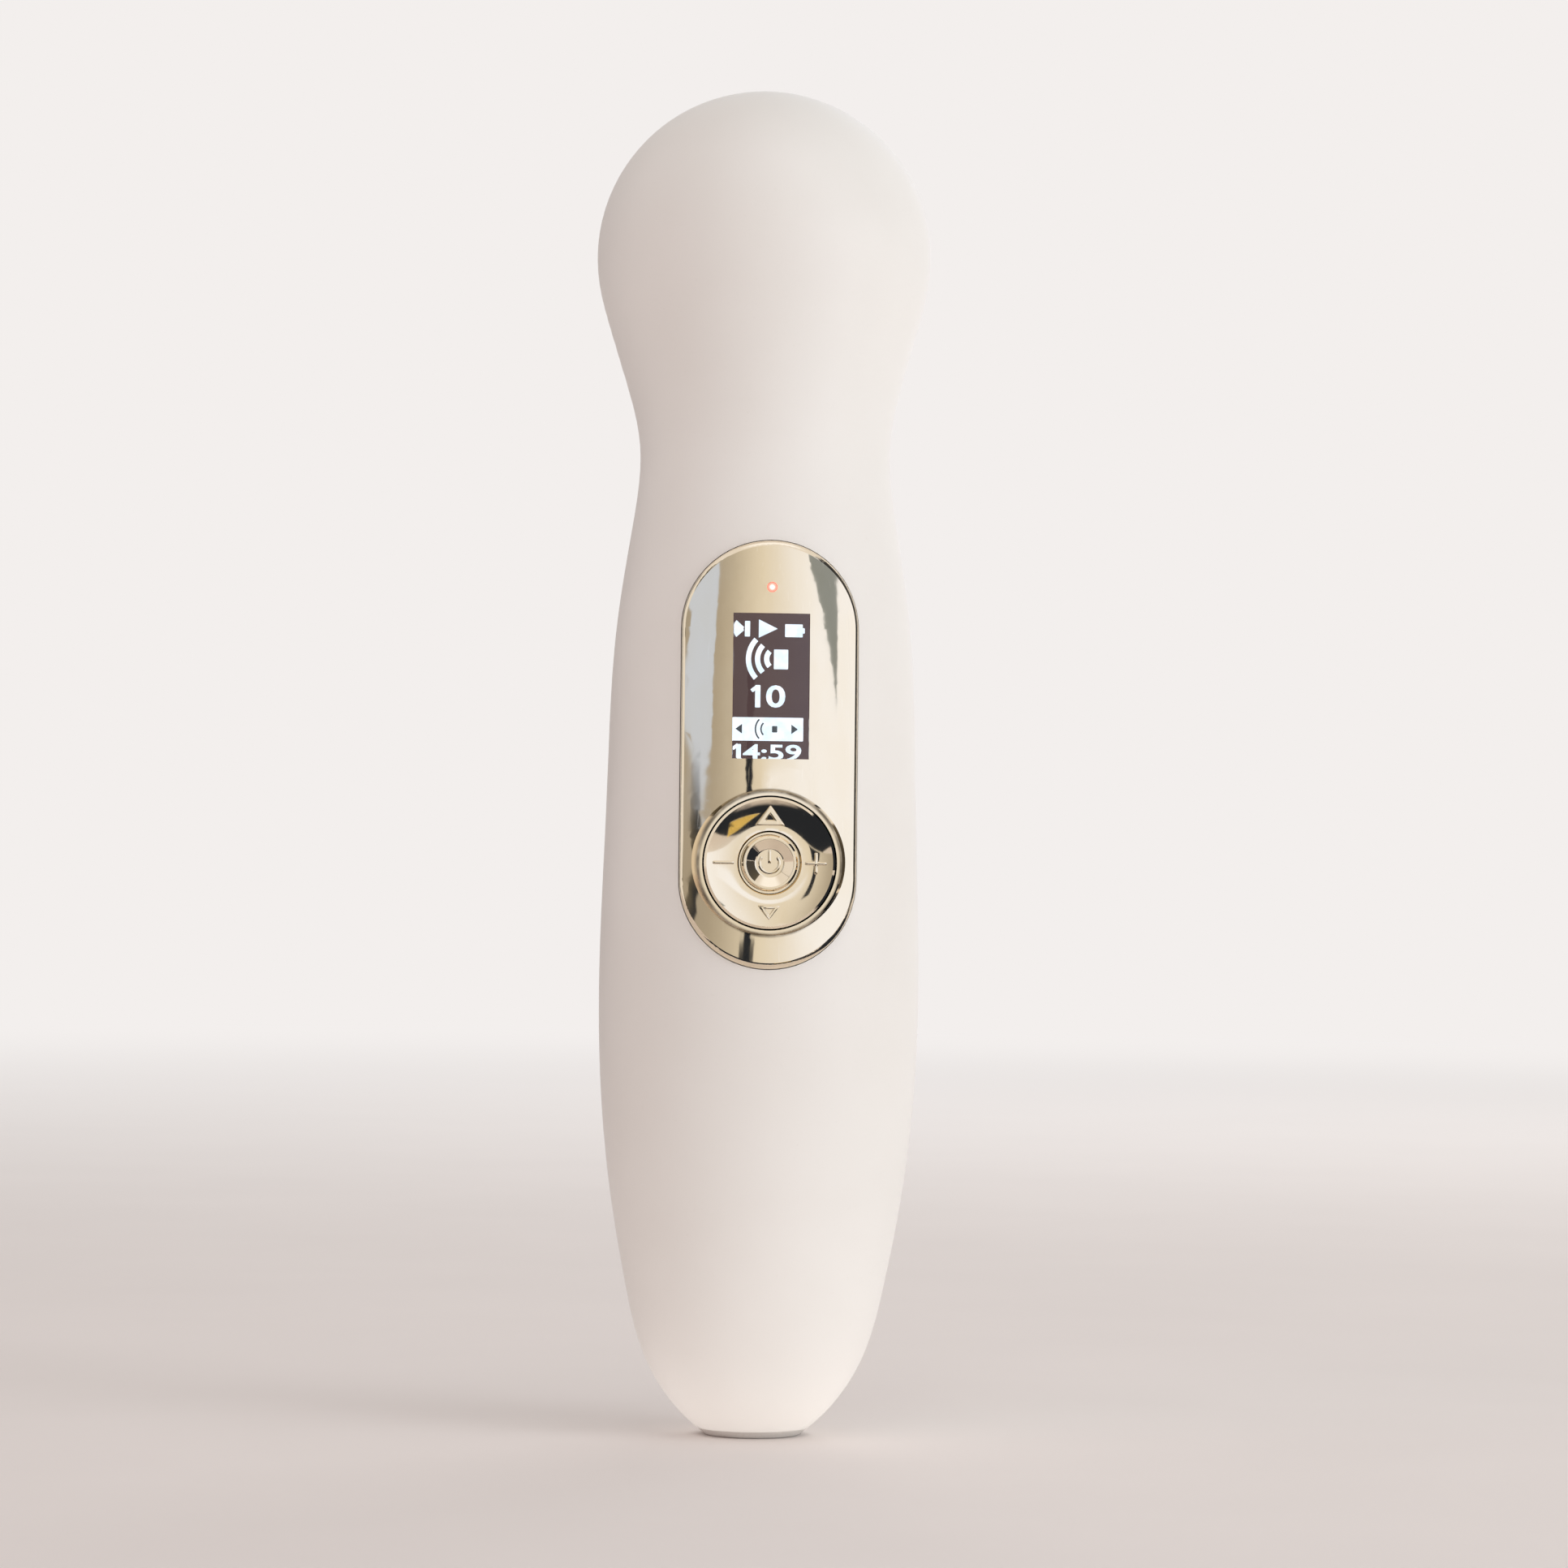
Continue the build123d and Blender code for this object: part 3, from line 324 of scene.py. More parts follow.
def shade(hexadecimal: str) -> tuple[float, float, float]:
    """Turns a colour written as RRGGBB into linear red, green and blue."""
    parts = (int(hexadecimal[i : i + 2], 16) / 255 for i in (0, 2, 4))
    return tuple(p / 12.92 if p <= 0.04045 else ((p + 0.055) / 1.055) ** 2.4 for p in parts)


# ---------------------------------------------------------------- finishes


@dataclass(frozen=True)
class Finish:
    """A finish that pieces share; a subclass says how it is made."""

    name: str
    colour: str

    def paint(self, shader: Shader) -> None:
        """Sets up the shader's nodes."""
        raise NotImplementedError

    def make(self) -> bpy.types.Material:
        """Builds the material, with its plain colour for solid views.

        Returns:
            The material.
        """
        shader = Shader(self.name)
        shader.material.diffuse_color = (*shade(self.colour), 1.0)
        self.paint(shader)
        return shader.material


@dataclass(frozen=True)
class SoftTouchPaint(Finish):
    """Matte elastic paint with a fine grain, rubbed smoother where the hand holds it."""

    shadow: str = "E7E4DF"

    def paint(self, shader: Shader) -> None:
        """Grain, faint clouding, a handled belly and scuffs round the foot.

        Args:
            shader: The material's nodes.
        """
        _, _, height = shader.axes()
        cloud = shader.noise(34.0, 3.0)
        handled = height.step(20.0, 60.0) * height.step(140.0, 100.0) * shader.noise(9.0, 4.0)
        scuffs = height.step(1.6, 0.2) * shader.noise(0.6, 5.0).step(0.55, 0.70)
        speckle = shader.noise(0.5, 2.0).step(0.66, 0.76)
        colour = shader.blend(cloud.step(0.3, 0.75) * 0.55, self.colour, self.shadow)
        colour = shader.blend(handled * 0.18, colour, "E6E3DD")
        colour = shader.blend(speckle * 0.08, colour, "D6CFC4")
        shader.set(
            Base_Color=shader.blend(scuffs * 0.3, colour, "CDC4B8"),
            Roughness=0.44 + cloud * 0.06 - handled * 0.10 + scuffs * 0.15,
            Specular_IOR_Level=0.42,
            Coat_Roughness=0.3,
        )
        shader.relief(shader.noise(0.22, 2.0) + shader.noise(0.9, 2.0) * 0.6, 0.004, 0.5)


@dataclass(frozen=True)
class Plating(Finish):
    """Bright plating over moulded plastic: slightly wavy, with smears and hairlines."""

    waviness: float = 0.0022
    polish: float = 0.05

    def paint(self, shader: Shader) -> None:
        """Long waves in the plating, finger smears and hairline scratches.

        Args:
            shader: The material's nodes.
        """
        smear = shader.noise(5.0, 4.0, (1.0, 1.0, 2.6))
        hairline = shader.noise(0.25, 2.0, (1.0, 1.0, 30.0)).step(0.67, 0.74)
        wave = shader.noise(8.5, 1.0, (0.7, 0.7, 2.2))
        base = shader.blend(smear.step(0.35, 0.75) * 0.5, self.colour, "F3E7D3")
        base = shader.blend(hairline * 0.18, base, "FFF6E6")
        shader.set(
            # painted shade: creases darken towards 4A3F30 by the painted crease shade mask
            Base_Color=shader.blend(self.painted_crease_shade(shader), base, "4A3F30"),
            Metallic=1.0,
            Roughness=self.polish + smear.step(0.45, 0.8) * 0.05 + hairline * 0.06,
        )
        shader.relief(wave + hairline * 0.004, self.waviness * 8.5)

    def painted_crease_shade(self, shader: Shader) -> Value | float:
        """How much painted shade darkens a crease, from 0 to 1; here none."""
        return 0.0


@dataclass(frozen=True)
class CreaseShadePlating(Plating):
    """The bezel's plating, with painted shade in the crease round the raised seat of the key."""

    # where the painted shade ring lies round the key's middle, and how far it spreads, in
    # millimetres
    radius: float = 10.6
    spread: float = 0.5

    def painted_crease_shade(self, shader: Shader) -> Value:
        """A soft uneven ring of painted shade at the foot of the seat.

        Args:
            shader: The material's nodes.

        Returns:
            How much of the painted shade is seen, from 0 to 1.
        """
        x, _, z = shader.axes(Vector((0.0, 0.0, KEY_Z)))
        away = abs(reach(x, z) - self.radius)
        # painted shade: a dark ring at the seat's foot, made uneven by noise
        return away.step(self.spread, 0.1) * (0.45 + shader.noise(3.0, 3.0).step(0.3, 0.7) * 0.4)


@dataclass(frozen=True)
class ProbeMetal(Finish):
    """Polished probe face with fine turning marks round its middle."""

    ring_rate: float = 14.0

    def paint(self, shader: Shader) -> None:
        """Turning rings, a wiped smear and a few contact scratches.

        Args:
            shader: The material's nodes.
        """
        x, y, _ = shader.axes(FACE_CENTRE, math.pi / 2 - FACE_TILT)
        radius = reach(x, y)
        rings = (radius * self.ring_rate + shader.noise(3.0, 2.0) * 2.0).sine()
        smear = shader.noise(4.0, 4.0, (2.5, 1.0, 1.0))
        scratch = shader.noise(0.3, 2.0, (20.0, 1.0, 2.0)).step(0.68, 0.74)
        base = shader.blend(smear.step(0.4, 0.8) * 0.4, self.colour, "D9D2C6")
        shader.set(
            Base_Color=shader.blend(scratch * 0.3, base, "FBF8F2"),
            Metallic=1.0,
            Roughness=0.15 + smear * 0.09 + scratch * 0.08,
        )
        shader.relief(rings + scratch, 0.0009, 0.6)


@dataclass(frozen=True)
class MouldedPlastic(Finish):
    """Plain moulded plastic or rubber with a spark-eroded grain and flow marks."""

    rough: float = 0.5
    grain: float = 0.35
    depth: float = 0.006
    second: str = "808080"
    tint: float = 0.12

    def paint(self, shader: Shader) -> None:
        """Grain, flow marks, handling shine and pale dust in the low spots.

        Args:
            shader: The material's nodes.
        """
        flow = shader.noise(7.0, 3.0, (1.0, 1.0, 3.0))
        grain = shader.noise(self.grain, 3.0)
        dust = shader.noise(1.6, 5.0).step(0.6, 0.75)
        base = shader.blend(flow.step(0.3, 0.7) * self.tint, self.colour, self.second)
        shader.set(
            Base_Color=shader.blend(dust * 0.08, base, "CFCAC2"),
            Roughness=self.rough + flow * 0.08 + dust * 0.06,
        )
        shader.relief(grain + flow * 0.5, self.depth, 0.7)


@dataclass(frozen=True)
class LitPlastic(Finish):
    """Frosted light-carrying plastic; its own light shows in it."""

    glow: str = "FF2A18"
    strength: float = 2.2
    half_width: float = 2.4

    def paint(self, shader: Shader) -> None:
        """Hot spots over the LEDs round the ring, brighter in the middle of its width.

        Args:
            shader: The material's nodes.
        """
        x, y, _ = shader.axes(FACE_CENTRE, math.pi / 2 - FACE_TILT)
        angle = y.maths("ARCTAN2", x)
        spots = ((angle * float(LED_COUNT)).maths("COSINE") * 0.5 + 0.5) ** 2.0
        radius = reach(x, y)
        middle = 1.0 - (abs(radius - LED_CIRCLE) / self.half_width).step(0.2, 1.0)
        frost = shader.noise(0.5, 3.0)
        heat = (spots * middle * 0.85 + frost * 0.1).step(0.0, 1.0)
        shader.set(
            Base_Color=shader.blend(frost.step(0.3, 0.7), self.colour, "FFC9BD"),
            Roughness=0.28 + frost * 0.18,
            Emission_Color=shader.blend(heat, self.glow, "FFB49A"),
            Emission_Strength=self.strength,
            Subsurface_Weight=0.2,
            Subsurface_Radius=(0.002, 0.0008, 0.0006),
        )
        shader.relief(frost, 0.006, 0.5)


@dataclass(frozen=True)
class IndicatorPlastic(Finish):
    """The light pipe of the indicator: white-hot in the middle, red round its edge."""

    def paint(self, shader: Shader) -> None:
        """A hot core that falls off to red, with a frosted end.

        Args:
            shader: The material's nodes.
        """
        x, _, z = shader.axes(Vector((0.0, 0.0, INDICATOR_Z)))
        radius = reach(x, z)
        frost = shader.noise(0.18, 2.0)
        core = (radius + frost * 0.12).step(0.62, 0.16)
        shader.set(
            Base_Color=shader.blend(frost, self.colour, "FFB9A8"),
            Roughness=0.25 + frost * 0.2,
            Emission_Color=shader.blend(core, "FF4A36", "FFEDE6"),
            Emission_Strength=1.4,
        )
        shader.relief(frost, 0.004, 0.4)


@dataclass(frozen=True)
class LedBody(Finish):
    """An LED: white package with a lit red lens of phosphor grain."""

    def paint(self, shader: Shader) -> None:
        """Grain in the package, and a lens that is lit in patches.

        Args:
            shader: The material's nodes.
        """
        grain = shader.noise(0.12, 3.0)
        shader.set(
            Base_Color=shader.blend(grain.step(0.3, 0.7), self.colour, "FF9A86"),
            Roughness=0.3 + grain * 0.2,
            Emission_Color=shader.blend(grain.step(0.2, 0.8), "FF2413", "FF7A5C"),
            Emission_Strength=3.0,
        )
        shader.relief(grain, 0.004, 0.4)


@dataclass(frozen=True)
class ClearWindow(Finish):
    """Clear cast window with a hard coat: faint wipe marks and dust."""

    def paint(self, shader: Shader) -> None:
        """Wipe marks in the gloss, and fine dust.

        Args:
            shader: The material's nodes.
        """
        wipe = shader.noise(2.5, 4.0, (3.0, 1.0, 1.0))
        dust = shader.noise(0.2, 2.0).step(0.70, 0.76)
        shader.set(
            Base_Color=shader.blend(dust * 0.1, self.colour, "D8D8D8"),
            Roughness=0.02 + wipe.step(0.5, 0.8) * 0.03 + dust * 0.1,
            Transmission_Weight=1.0,
            IOR=1.49,
        )
        shader.relief(wipe, 0.0006, 0.4)


def pixel_grid(shader: Shader, start: float) -> Value:
    """Thin lines between the pixels of the display.

    Args:
        shader: The material's nodes.
        start: How thick the lines are: a lower number makes thicker ones.

    Returns:
        1 on a line, 0 on a pixel.
    """
    x, _, z = shader.axes()
    upright, level = ((axis * PIXEL_RATE).sine().step(start, 1.0) for axis in (x, z))
    return upright.maths("MAXIMUM", level)


@dataclass(frozen=True)
class DisplayGlass(Finish):
    """Dark display glass with the fine grid of its pixels, glowing with a painted reflection."""

    def paint(self, shader: Shader) -> None:
        """A pixel grid, and a faint warm glow over the glass that paints the reflection in it.

        Args:
            shader: The material's nodes.
        """
        grid = pixel_grid(shader, 0.7)
        cloud = shader.noise(4.0, 2.0)
        shader.set(
            Base_Color=shader.blend(grid * 0.35, self.colour, "3A3436"),
            Roughness=0.12 + cloud * 0.06,
            # painted reflection: the dark glass glows warm grey, as room light reflected in it
            # would make it look
            Emission_Color=shader.blend(cloud, "524042", "5C4A48"),
            Emission_Strength=0.9,
        )
        shader.relief(grid, 0.0008, 0.3)


@dataclass(frozen=True)
class LitPixels(Finish):
    """Lit pixels of the display: blue-white, a little uneven."""

    dark: str = "C9E4F7"
    strength: float = 0.95

    def paint(self, shader: Shader) -> None:
        """Pixel rows that are dimmer between, and soft unevenness.

        Args:
            shader: The material's nodes.
        """
        grid = pixel_grid(shader, 0.75)
        drift = shader.noise(1.4, 3.0)
        light = shader.blend(drift.step(0.3, 0.7) * 0.6, self.colour, self.dark)
        shader.set(
            Base_Color="20262B",
            Roughness=0.35 + drift * 0.1,
            Emission_Color=shader.blend(grid * 0.25, light, "7E97A8"),
            Emission_Strength=self.strength,
        )


@dataclass(frozen=True)
class CircuitBoard(Finish):
    """Green solder mask over copper tracks, with vias."""

    track_rate: float = 4.1

    def paint(self, shader: Shader) -> None:
        """Tracks that run square to each other, vias and weave in the mask.

        Args:
            shader: The material's nodes.
        """
        x, _, z = shader.axes()
        maze = shader.cells(2.2).step(0.4, 0.5)
        upright = (x * self.track_rate).sine().step(0.35, 0.6)
        level = (z * self.track_rate).sine().step(0.35, 0.6)
        tracks = upright * maze + level * (1.0 - maze)
        vias = shader.cells(1.7).step(0.16, 0.11)
        weave = shader.noise(0.3, 2.0)
        base = shader.blend(tracks * 0.75, self.colour, "2E7A4A")
        base = shader.blend(vias, base, "C9A45A")
        shader.set(
            Base_Color=shader.blend(weave * 0.15, base, "123D22"),
            Metallic=vias * 0.9,
            Roughness=0.34 + weave * 0.12 - vias * 0.1,
        )
        shader.relief(tracks * 0.6 + vias + weave * 0.1, 0.02, 0.7)


@dataclass(frozen=True)
class RolledMetal(Finish):
    """Nickel-plated or sleeved steel, brushed one way."""

    rough: float = 0.26
    metallic: float = 1.0
    grain: tuple[float, ...] = (1.0, 1.0, 14.0)

    def paint(self, shader: Shader) -> None:
        """Brush marks, dull patches and a few bright scratches.

        Args:
            shader: The material's nodes.
        """
        brushed = shader.noise(0.5, 4.0, self.grain)
        patch = shader.noise(3.5, 3.0)
        scratch = shader.noise(0.35, 2.0, (9.0, 1.0, 1.0)).step(0.69, 0.75)
        base = shader.blend(patch.step(0.35, 0.7) * 0.3, self.colour, "8F8F92")
        shader.set(
            Base_Color=shader.blend(scratch * 0.5, base, "F4F4F6"),
            Metallic=self.metallic,
            Roughness=self.rough + patch * 0.1 + brushed * 0.08,
        )
        shader.relief(brushed + scratch * 0.4, 0.003, 0.6)


@dataclass(frozen=True)
class WoundTape(Finish):
    """A winding under polyester tape: turns show through as ribs."""

    turn_rate: float = 15.7

    def paint(self, shader: Shader) -> None:
        """Ribs along the winding and a lap where the tape ends.

        Args:
            shader: The material's nodes.
        """
        x, y, z = shader.axes()
        ribs = (z * self.turn_rate + shader.noise(2.0, 2.0)).sine() * 0.5 + 0.5
        lap = (x - y * 0.2).step(2.0, 2.3)
        base = shader.blend(ribs, self.colour, "E2B061")
        shader.set(
            Base_Color=shader.blend(lap * 0.35, base, "F0C67E"),
            Roughness=0.32 + shader.noise(1.0, 3.0) * 0.15,
            Coat_Weight=0.4,
        )
        shader.relief(ribs + lap, 0.05, 0.7)


@dataclass(frozen=True)
class OpenFoam(Finish):
    """Open-cell foam or the foam core of a tape."""

    cell: float = 0.7

    def paint(self, shader: Shader) -> None:
        """Cells with painted shade inside them, paler on their walls.

        Args:
            shader: The material's nodes.
        """
        walls = shader.cells(self.cell, "DISTANCE_TO_EDGE").step(0.05, 0.3)
        dust = shader.noise(2.5, 3.0)
        # painted shade: the cells' hollows take the dark 77747A, their walls keep the foam's colour
        base = shader.blend(walls * 0.7, "77747A", self.colour)
        shader.set(
            Base_Color=shader.blend(dust.step(0.5, 0.8) * 0.25, base, "A09CA0"),
            Roughness=0.85 + dust * 0.1,
        )
        shader.relief(1.0 - walls, self.cell * 0.3, 0.9)


@dataclass(frozen=True)
class FlexFilm(Finish):
    """Amber flexible circuit with copper conductors along it."""

    track_rate: float = 12.5

    def paint(self, shader: Shader) -> None:
        """Conductors along the ribbon, under glossy film.

        Args:
            shader: The material's nodes.
        """
        x, _, _ = shader.axes()
        tracks = (x * self.track_rate).sine().step(0.0, 0.4)
        ripple = shader.noise(1.5, 2.0)
        shader.set(
            Base_Color=shader.blend(tracks, self.colour, "8A4A14"),
            Roughness=0.22 + ripple * 0.15,
            Coat_Weight=0.5,
        )
        shader.relief(tracks + ripple * 0.5, 0.01, 0.6)


FINISHES = {
    "ivory_shell": SoftTouchPaint("soft_touch_ivory", "EFEDE9"),
    "gold_plating": Plating("champagne_plating", "EFE0C6"),
    "clear_plastic": ClearWindow("clear_window", "FDFDFD"),
    "display_glass": DisplayGlass("display_glass", "171314"),
    "frosted_plastic": LitPlastic("lit_light_ring", "FF8C7A"),
    "silicone": MouldedPlastic("grey_silicone", "C9C5BF", 0.62, 0.5, 0.006, "B5B0AA", 0.3),
    "adhesive": OpenFoam("adhesive_tape", "2B2A2C", 0.35),
    "foam": OpenFoam("cell_foam", "3A3A3D", 0.8),
    "black_plastic": MouldedPlastic("black_moulding", "161617", 0.42, 0.2, 0.005, "2A2A2C", 0.3),
    "grey_plastic": MouldedPlastic("grey_moulding", "8B8D90", 0.5, 0.35, 0.008, "7C7E82", 0.35),
    "circuit_board": CircuitBoard("solder_mask", "17552F"),
    "polyimide": FlexFilm("flex_film", "B86A22"),
    "led_red": LedBody("red_led", "F2E9E4"),
    "ferrite": MouldedPlastic("sintered_ferrite", "2B2A2A", 0.6, 0.25, 0.02, "3B3836", 0.5),
    "copper_winding": WoundTape("taped_winding", "C98B3A"),
    "cell_can": RolledMetal("blue_cell_sleeve", "2F6CA8", 0.38, 0.15),
    "plated_steel": RolledMetal("nickel_plated_steel", "C9C8C6"),
    "probe_metal": ProbeMetal("polished_probe", "E6DECF"),
    "wire_cover": MouldedPlastic("red_wire_cover", "A51C1C", 0.4, 0.4, 0.004, "8A1414", 0.4),
    "piezo_ceramic": RolledMetal("silvered_ceramic", "CFC7B4", 0.42, 0.7, (1.0, 1.0, 1.0)),
}
# the bezel's plating carries painted shade round the key's seat
BEZEL = CreaseShadePlating("bezel_plating", "EFE0C6")
INDICATOR = IndicatorPlastic("lit_indicator", "FF9C8C")
PIXELS = LitPixels("lit_pixels", "F1F8FF", strength=1.25)
BAR_MARKS = LitPixels("dim_pixels", "2E3A44", "1E272E", 0.6)


class Paintshop:
    """Makes each finish once and puts it on pieces."""

    def __init__(self) -> None:
        """Starts with no material made."""
        self.made: dict[str, bpy.types.Material] = {}

    def material(self, finish: Finish) -> bpy.types.Material:
        """Gives the material of a finish.

        Args:
            finish: The finish.

        Returns:
            Its material, made on the first call.
        """
        if finish.name not in self.made:
            self.made[finish.name] = finish.make()
        return self.made[finish.name]

    def dress(self, piece: bpy.types.Object, finish: Finish) -> None:
        """Puts a finish on all of a piece.

        Args:
            piece: A CAD node or a new piece.
            finish: The finish.
        """
        if not piece.material_slots:
            piece.data.materials.append(self.material(finish))
        for holder in piece.material_slots:
            holder.material = self.material(finish)


# ---------------------------------------------------------------- modelling


class Blank:
    """A new piece on the bench: a primitive that edit-mode tools shape, in world places."""

    def __init__(self, name: str) -> None:
        """Takes the object that an operator has just made.

        Args:
            name: Its new name.
        """
        self.piece = bpy.context.object
        self.piece.name = name
        self.piece.data.name = name
        self.settle()

    @staticmethod
    def clear() -> None:
        """Leaves edit mode and deselects everything."""
        if bpy.context.object and bpy.context.object.mode != "OBJECT":
            bpy.ops.object.mode_set(mode="OBJECT")
        bpy.ops.object.select_all(action="DESELECT")

    @classmethod
    def sheet(
        cls, name: str, centre: Vector, width: float, height: float, turn: float = 0.0
    ) -> "Blank":
        """A flat sheet that faces the user.

        Args:
            name: The piece's name.
            centre: Its middle in millimetres.
            width: Its width in millimetres.
            height: Its height in millimetres.
            turn: How far it is turned in its plane, in radians.

        Returns:
            The new piece.
        """
        cls.clear()
        rotation = (math.pi / 2, turn, 0.0)
        bpy.ops.mesh.primitive_plane_add(size=MM, location=centre * MM, rotation=rotation)
        bpy.context.object.scale = (width, height, 1.0)
        return cls(name)

    @classmethod
    def disc(
        cls, name: str, centre: Vector, radius: float, corners: int, turn: float = 0.0
    ) -> "Blank":
        """A flat regular polygon that faces the user.

        Args:
            name: The piece's name.
            centre: Its middle in millimetres.
            radius: The radius of its corners in millimetres.
            corners: How many corners it has.
            turn: How far it is turned in its plane, in radians.

        Returns:
            The new piece.
        """
        cls.clear()
        bpy.ops.mesh.primitive_circle_add(
            vertices=corners,
            radius=radius * MM,
            fill_type="NGON",
            location=centre * MM,
            rotation=(math.pi / 2, turn, 0.0),
        )
        return cls(name)

    @classmethod
    def words(cls, name: str, centre: Vector, figures: str, height: float, width: float) -> "Blank":
        """Plain figures of a given height and width that face the user.

        Args:
            name: The piece's name.
            centre: Their middle in millimetres.
            figures: The figures.
            height: Their height in millimetres.
            width: Their width in millimetres.

        Returns:
            The new piece, a flat mesh.
        """
        cls.clear()
        bpy.ops.object.text_add(rotation=(math.pi / 2, 0.0, 0.0))
        text = bpy.context.object.data
        text.body = figures
        text.offset = 0.022  # thickens the strokes
        text.resolution_u = 4
        bpy.ops.object.convert(target="MESH")
        made = cls(name)
        made.fit(centre, width, height)
        made.edit()
        made.pick(Part.VERTS)
        bpy.ops.mesh.remove_doubles(threshold=1e-7)
        made.done()
        return made

    def take(self, *others: "Blank") -> None:
        """Selects the piece and makes it the active one.

        Args:
            others: Pieces that are selected with it.
        """
        self.clear()
        for blank in (*others, self):
            blank.piece.select_set(True)
        bpy.context.view_layer.objects.active = self.piece

    def settle(self) -> None:
        """Puts the piece's place, turn and scale into its mesh."""
        self.take()
        bpy.ops.object.transform_apply(location=True, rotation=True, scale=True)

    def fit(self, centre: Vector, width: float, height: float) -> None:
        """Stretches a flat piece that faces the user and moves its middle to a place.

        Args:
            centre: The place in millimetres.
            width: Its new width in millimetres.
            height: Its new height in millimetres; below 0 it also turns the piece upside down.
        """
        corners = [vertex.co / MM for vertex in self.piece.data.vertices]
        scale, place = [1.0, 1.0, 1.0], centre.copy()
        for axis, size in enumerate((width, None, height)):
            low, high = (end(corner[axis] for corner in corners) for end in (min, max))
            if size:
                scale[axis] = size / (high - low)
            place[axis] -= scale[axis] * (high + low) / 2
        self.piece.scale = scale
        self.piece.location = place * MM
        self.settle()

    def copy(self, shift: Vector) -> "Blank":
        """Copies the piece, with a mesh of its own.

        Args:
            shift: How far the copy is moved, in millimetres.

        Returns:
            The copy.
        """
        self.take()
        bpy.ops.object.duplicate()
        bpy.context.object.location = shift * MM
        return Blank(self.piece.name)

    def edit(self) -> None:
        """Starts edit mode on the piece alone."""
        self.take()
        bpy.ops.object.mode_set(mode="EDIT")
        bpy.ops.mesh.select_all(action="DESELECT")

    def done(self) -> None:
        """Ends edit mode."""
        bpy.ops.object.mode_set(mode="OBJECT")

    def pick(self, part: Part, wanted: Callable[[Vector], bool] = lambda place: True) -> None:
        """Selects vertices, edges or faces by the place of their middles.

        Args:
            part: What is selected.
            wanted: Says of a place in millimetres if it is wanted; without it all are.
        """
        bpy.ops.mesh.select_mode(type=part.value)
        bpy.ops.mesh.select_all(action="DESELECT")
        mesh = bmesh.from_edit_mesh(self.piece.data)
        for element in getattr(mesh, part.name.lower()):
            corners = [element] if part is Part.VERTS else element.verts
            place = sum((corner.co for corner in corners), Vector()) / len(corners)
            if wanted(place / MM):
                element.select_set(True)
        mesh.select_flush_mode()
        bmesh.update_edit_mesh(self.piece.data)

    def face_user(self) -> None:
        """Turns a flat sheet's faces towards the user where they look away."""
        self.edit()
        self.pick(Part.FACES)
        bpy.ops.mesh.normals_make_consistent(inside=False)
        mesh = bmesh.from_edit_mesh(self.piece.data)
        mesh.faces.ensure_lookup_table()
        if mesh.faces[0].normal.y > 0:
            bpy.ops.mesh.flip_normals()
        self.done()

    def modify(self, kind: str, **settings: object) -> None:
        """Adds a modifier and applies it.

        Args:
            kind: The modifier's type.
            settings: Its properties.
        """
        self.take()
        modifier = self.piece.modifiers.new(kind.lower(), kind)
        for name, setting in settings.items():
            setattr(modifier, name, setting)
        bpy.ops.object.modifier_apply(modifier=modifier.name)

    def smooth(self, degrees: float = 35.0) -> None:
        """Shades the piece smooth up to an angle."""
        self.take()
        bpy.ops.object.shade_smooth_by_angle(angle=math.radians(degrees))

    def join(self, *others: "Blank") -> None:
        """Joins other pieces into this one."""
        self.take(*others)
        bpy.ops.object.join()


def arc_band(
    name: str, centre: Vector, radius: float, width: float, start: float, sweep: float, steps: int
) -> Blank:
    """A flat curved stroke round a centre, facing the user, spun from one edge.

    Args:
        name: The piece's name.
        centre: The middle of its circle in millimetres.
        radius: The radius of the stroke's middle line in millimetres.
        width: The stroke's width in millimetres.
        start: The angle where it starts, in degrees from +X towards +Z.
        sweep: How far it goes, in degrees.
        steps: How many steps it is made in.

    Returns:
        The new piece.
    """
    angle = math.radians(start)
    along = Vector((math.cos(angle), 0.0, math.sin(angle)))
    Blank.clear()
    bpy.ops.mesh.primitive_plane_add(
        size=width * MM,
        location=(centre + along * radius) * MM,
        rotation=(math.pi / 2, -angle, 0.0),
    )
    band = Blank(name)
    across = along.cross(Vector((0.0, 1.0, 0.0)))
    band.edit()
    band.pick(Part.VERTS, lambda place: (place - centre).dot(across) > 0)
    bpy.ops.mesh.delete(type="VERT")
    band.pick(Part.EDGES)
    bpy.ops.transform.translate(value=across * width * 0.5 * MM)
    bpy.ops.mesh.spin(
        steps=steps, angle=math.radians(sweep), center=centre * MM, axis=(0.0, 1.0, 0.0)
    )
    band.done()
    band.face_user()
    return band


def joined(name: str, parts: list[Blank]) -> Blank:
    """Makes one piece of several.

    Args:
        name: The piece's name.
        parts: Its parts.

    Returns:
        The piece.
    """
    whole, *others = parts
    whole.join(*others)
    whole.piece.name = whole.piece.data.name = name
    return whole


# ---------------------------------------------------------------- sub-assemblies


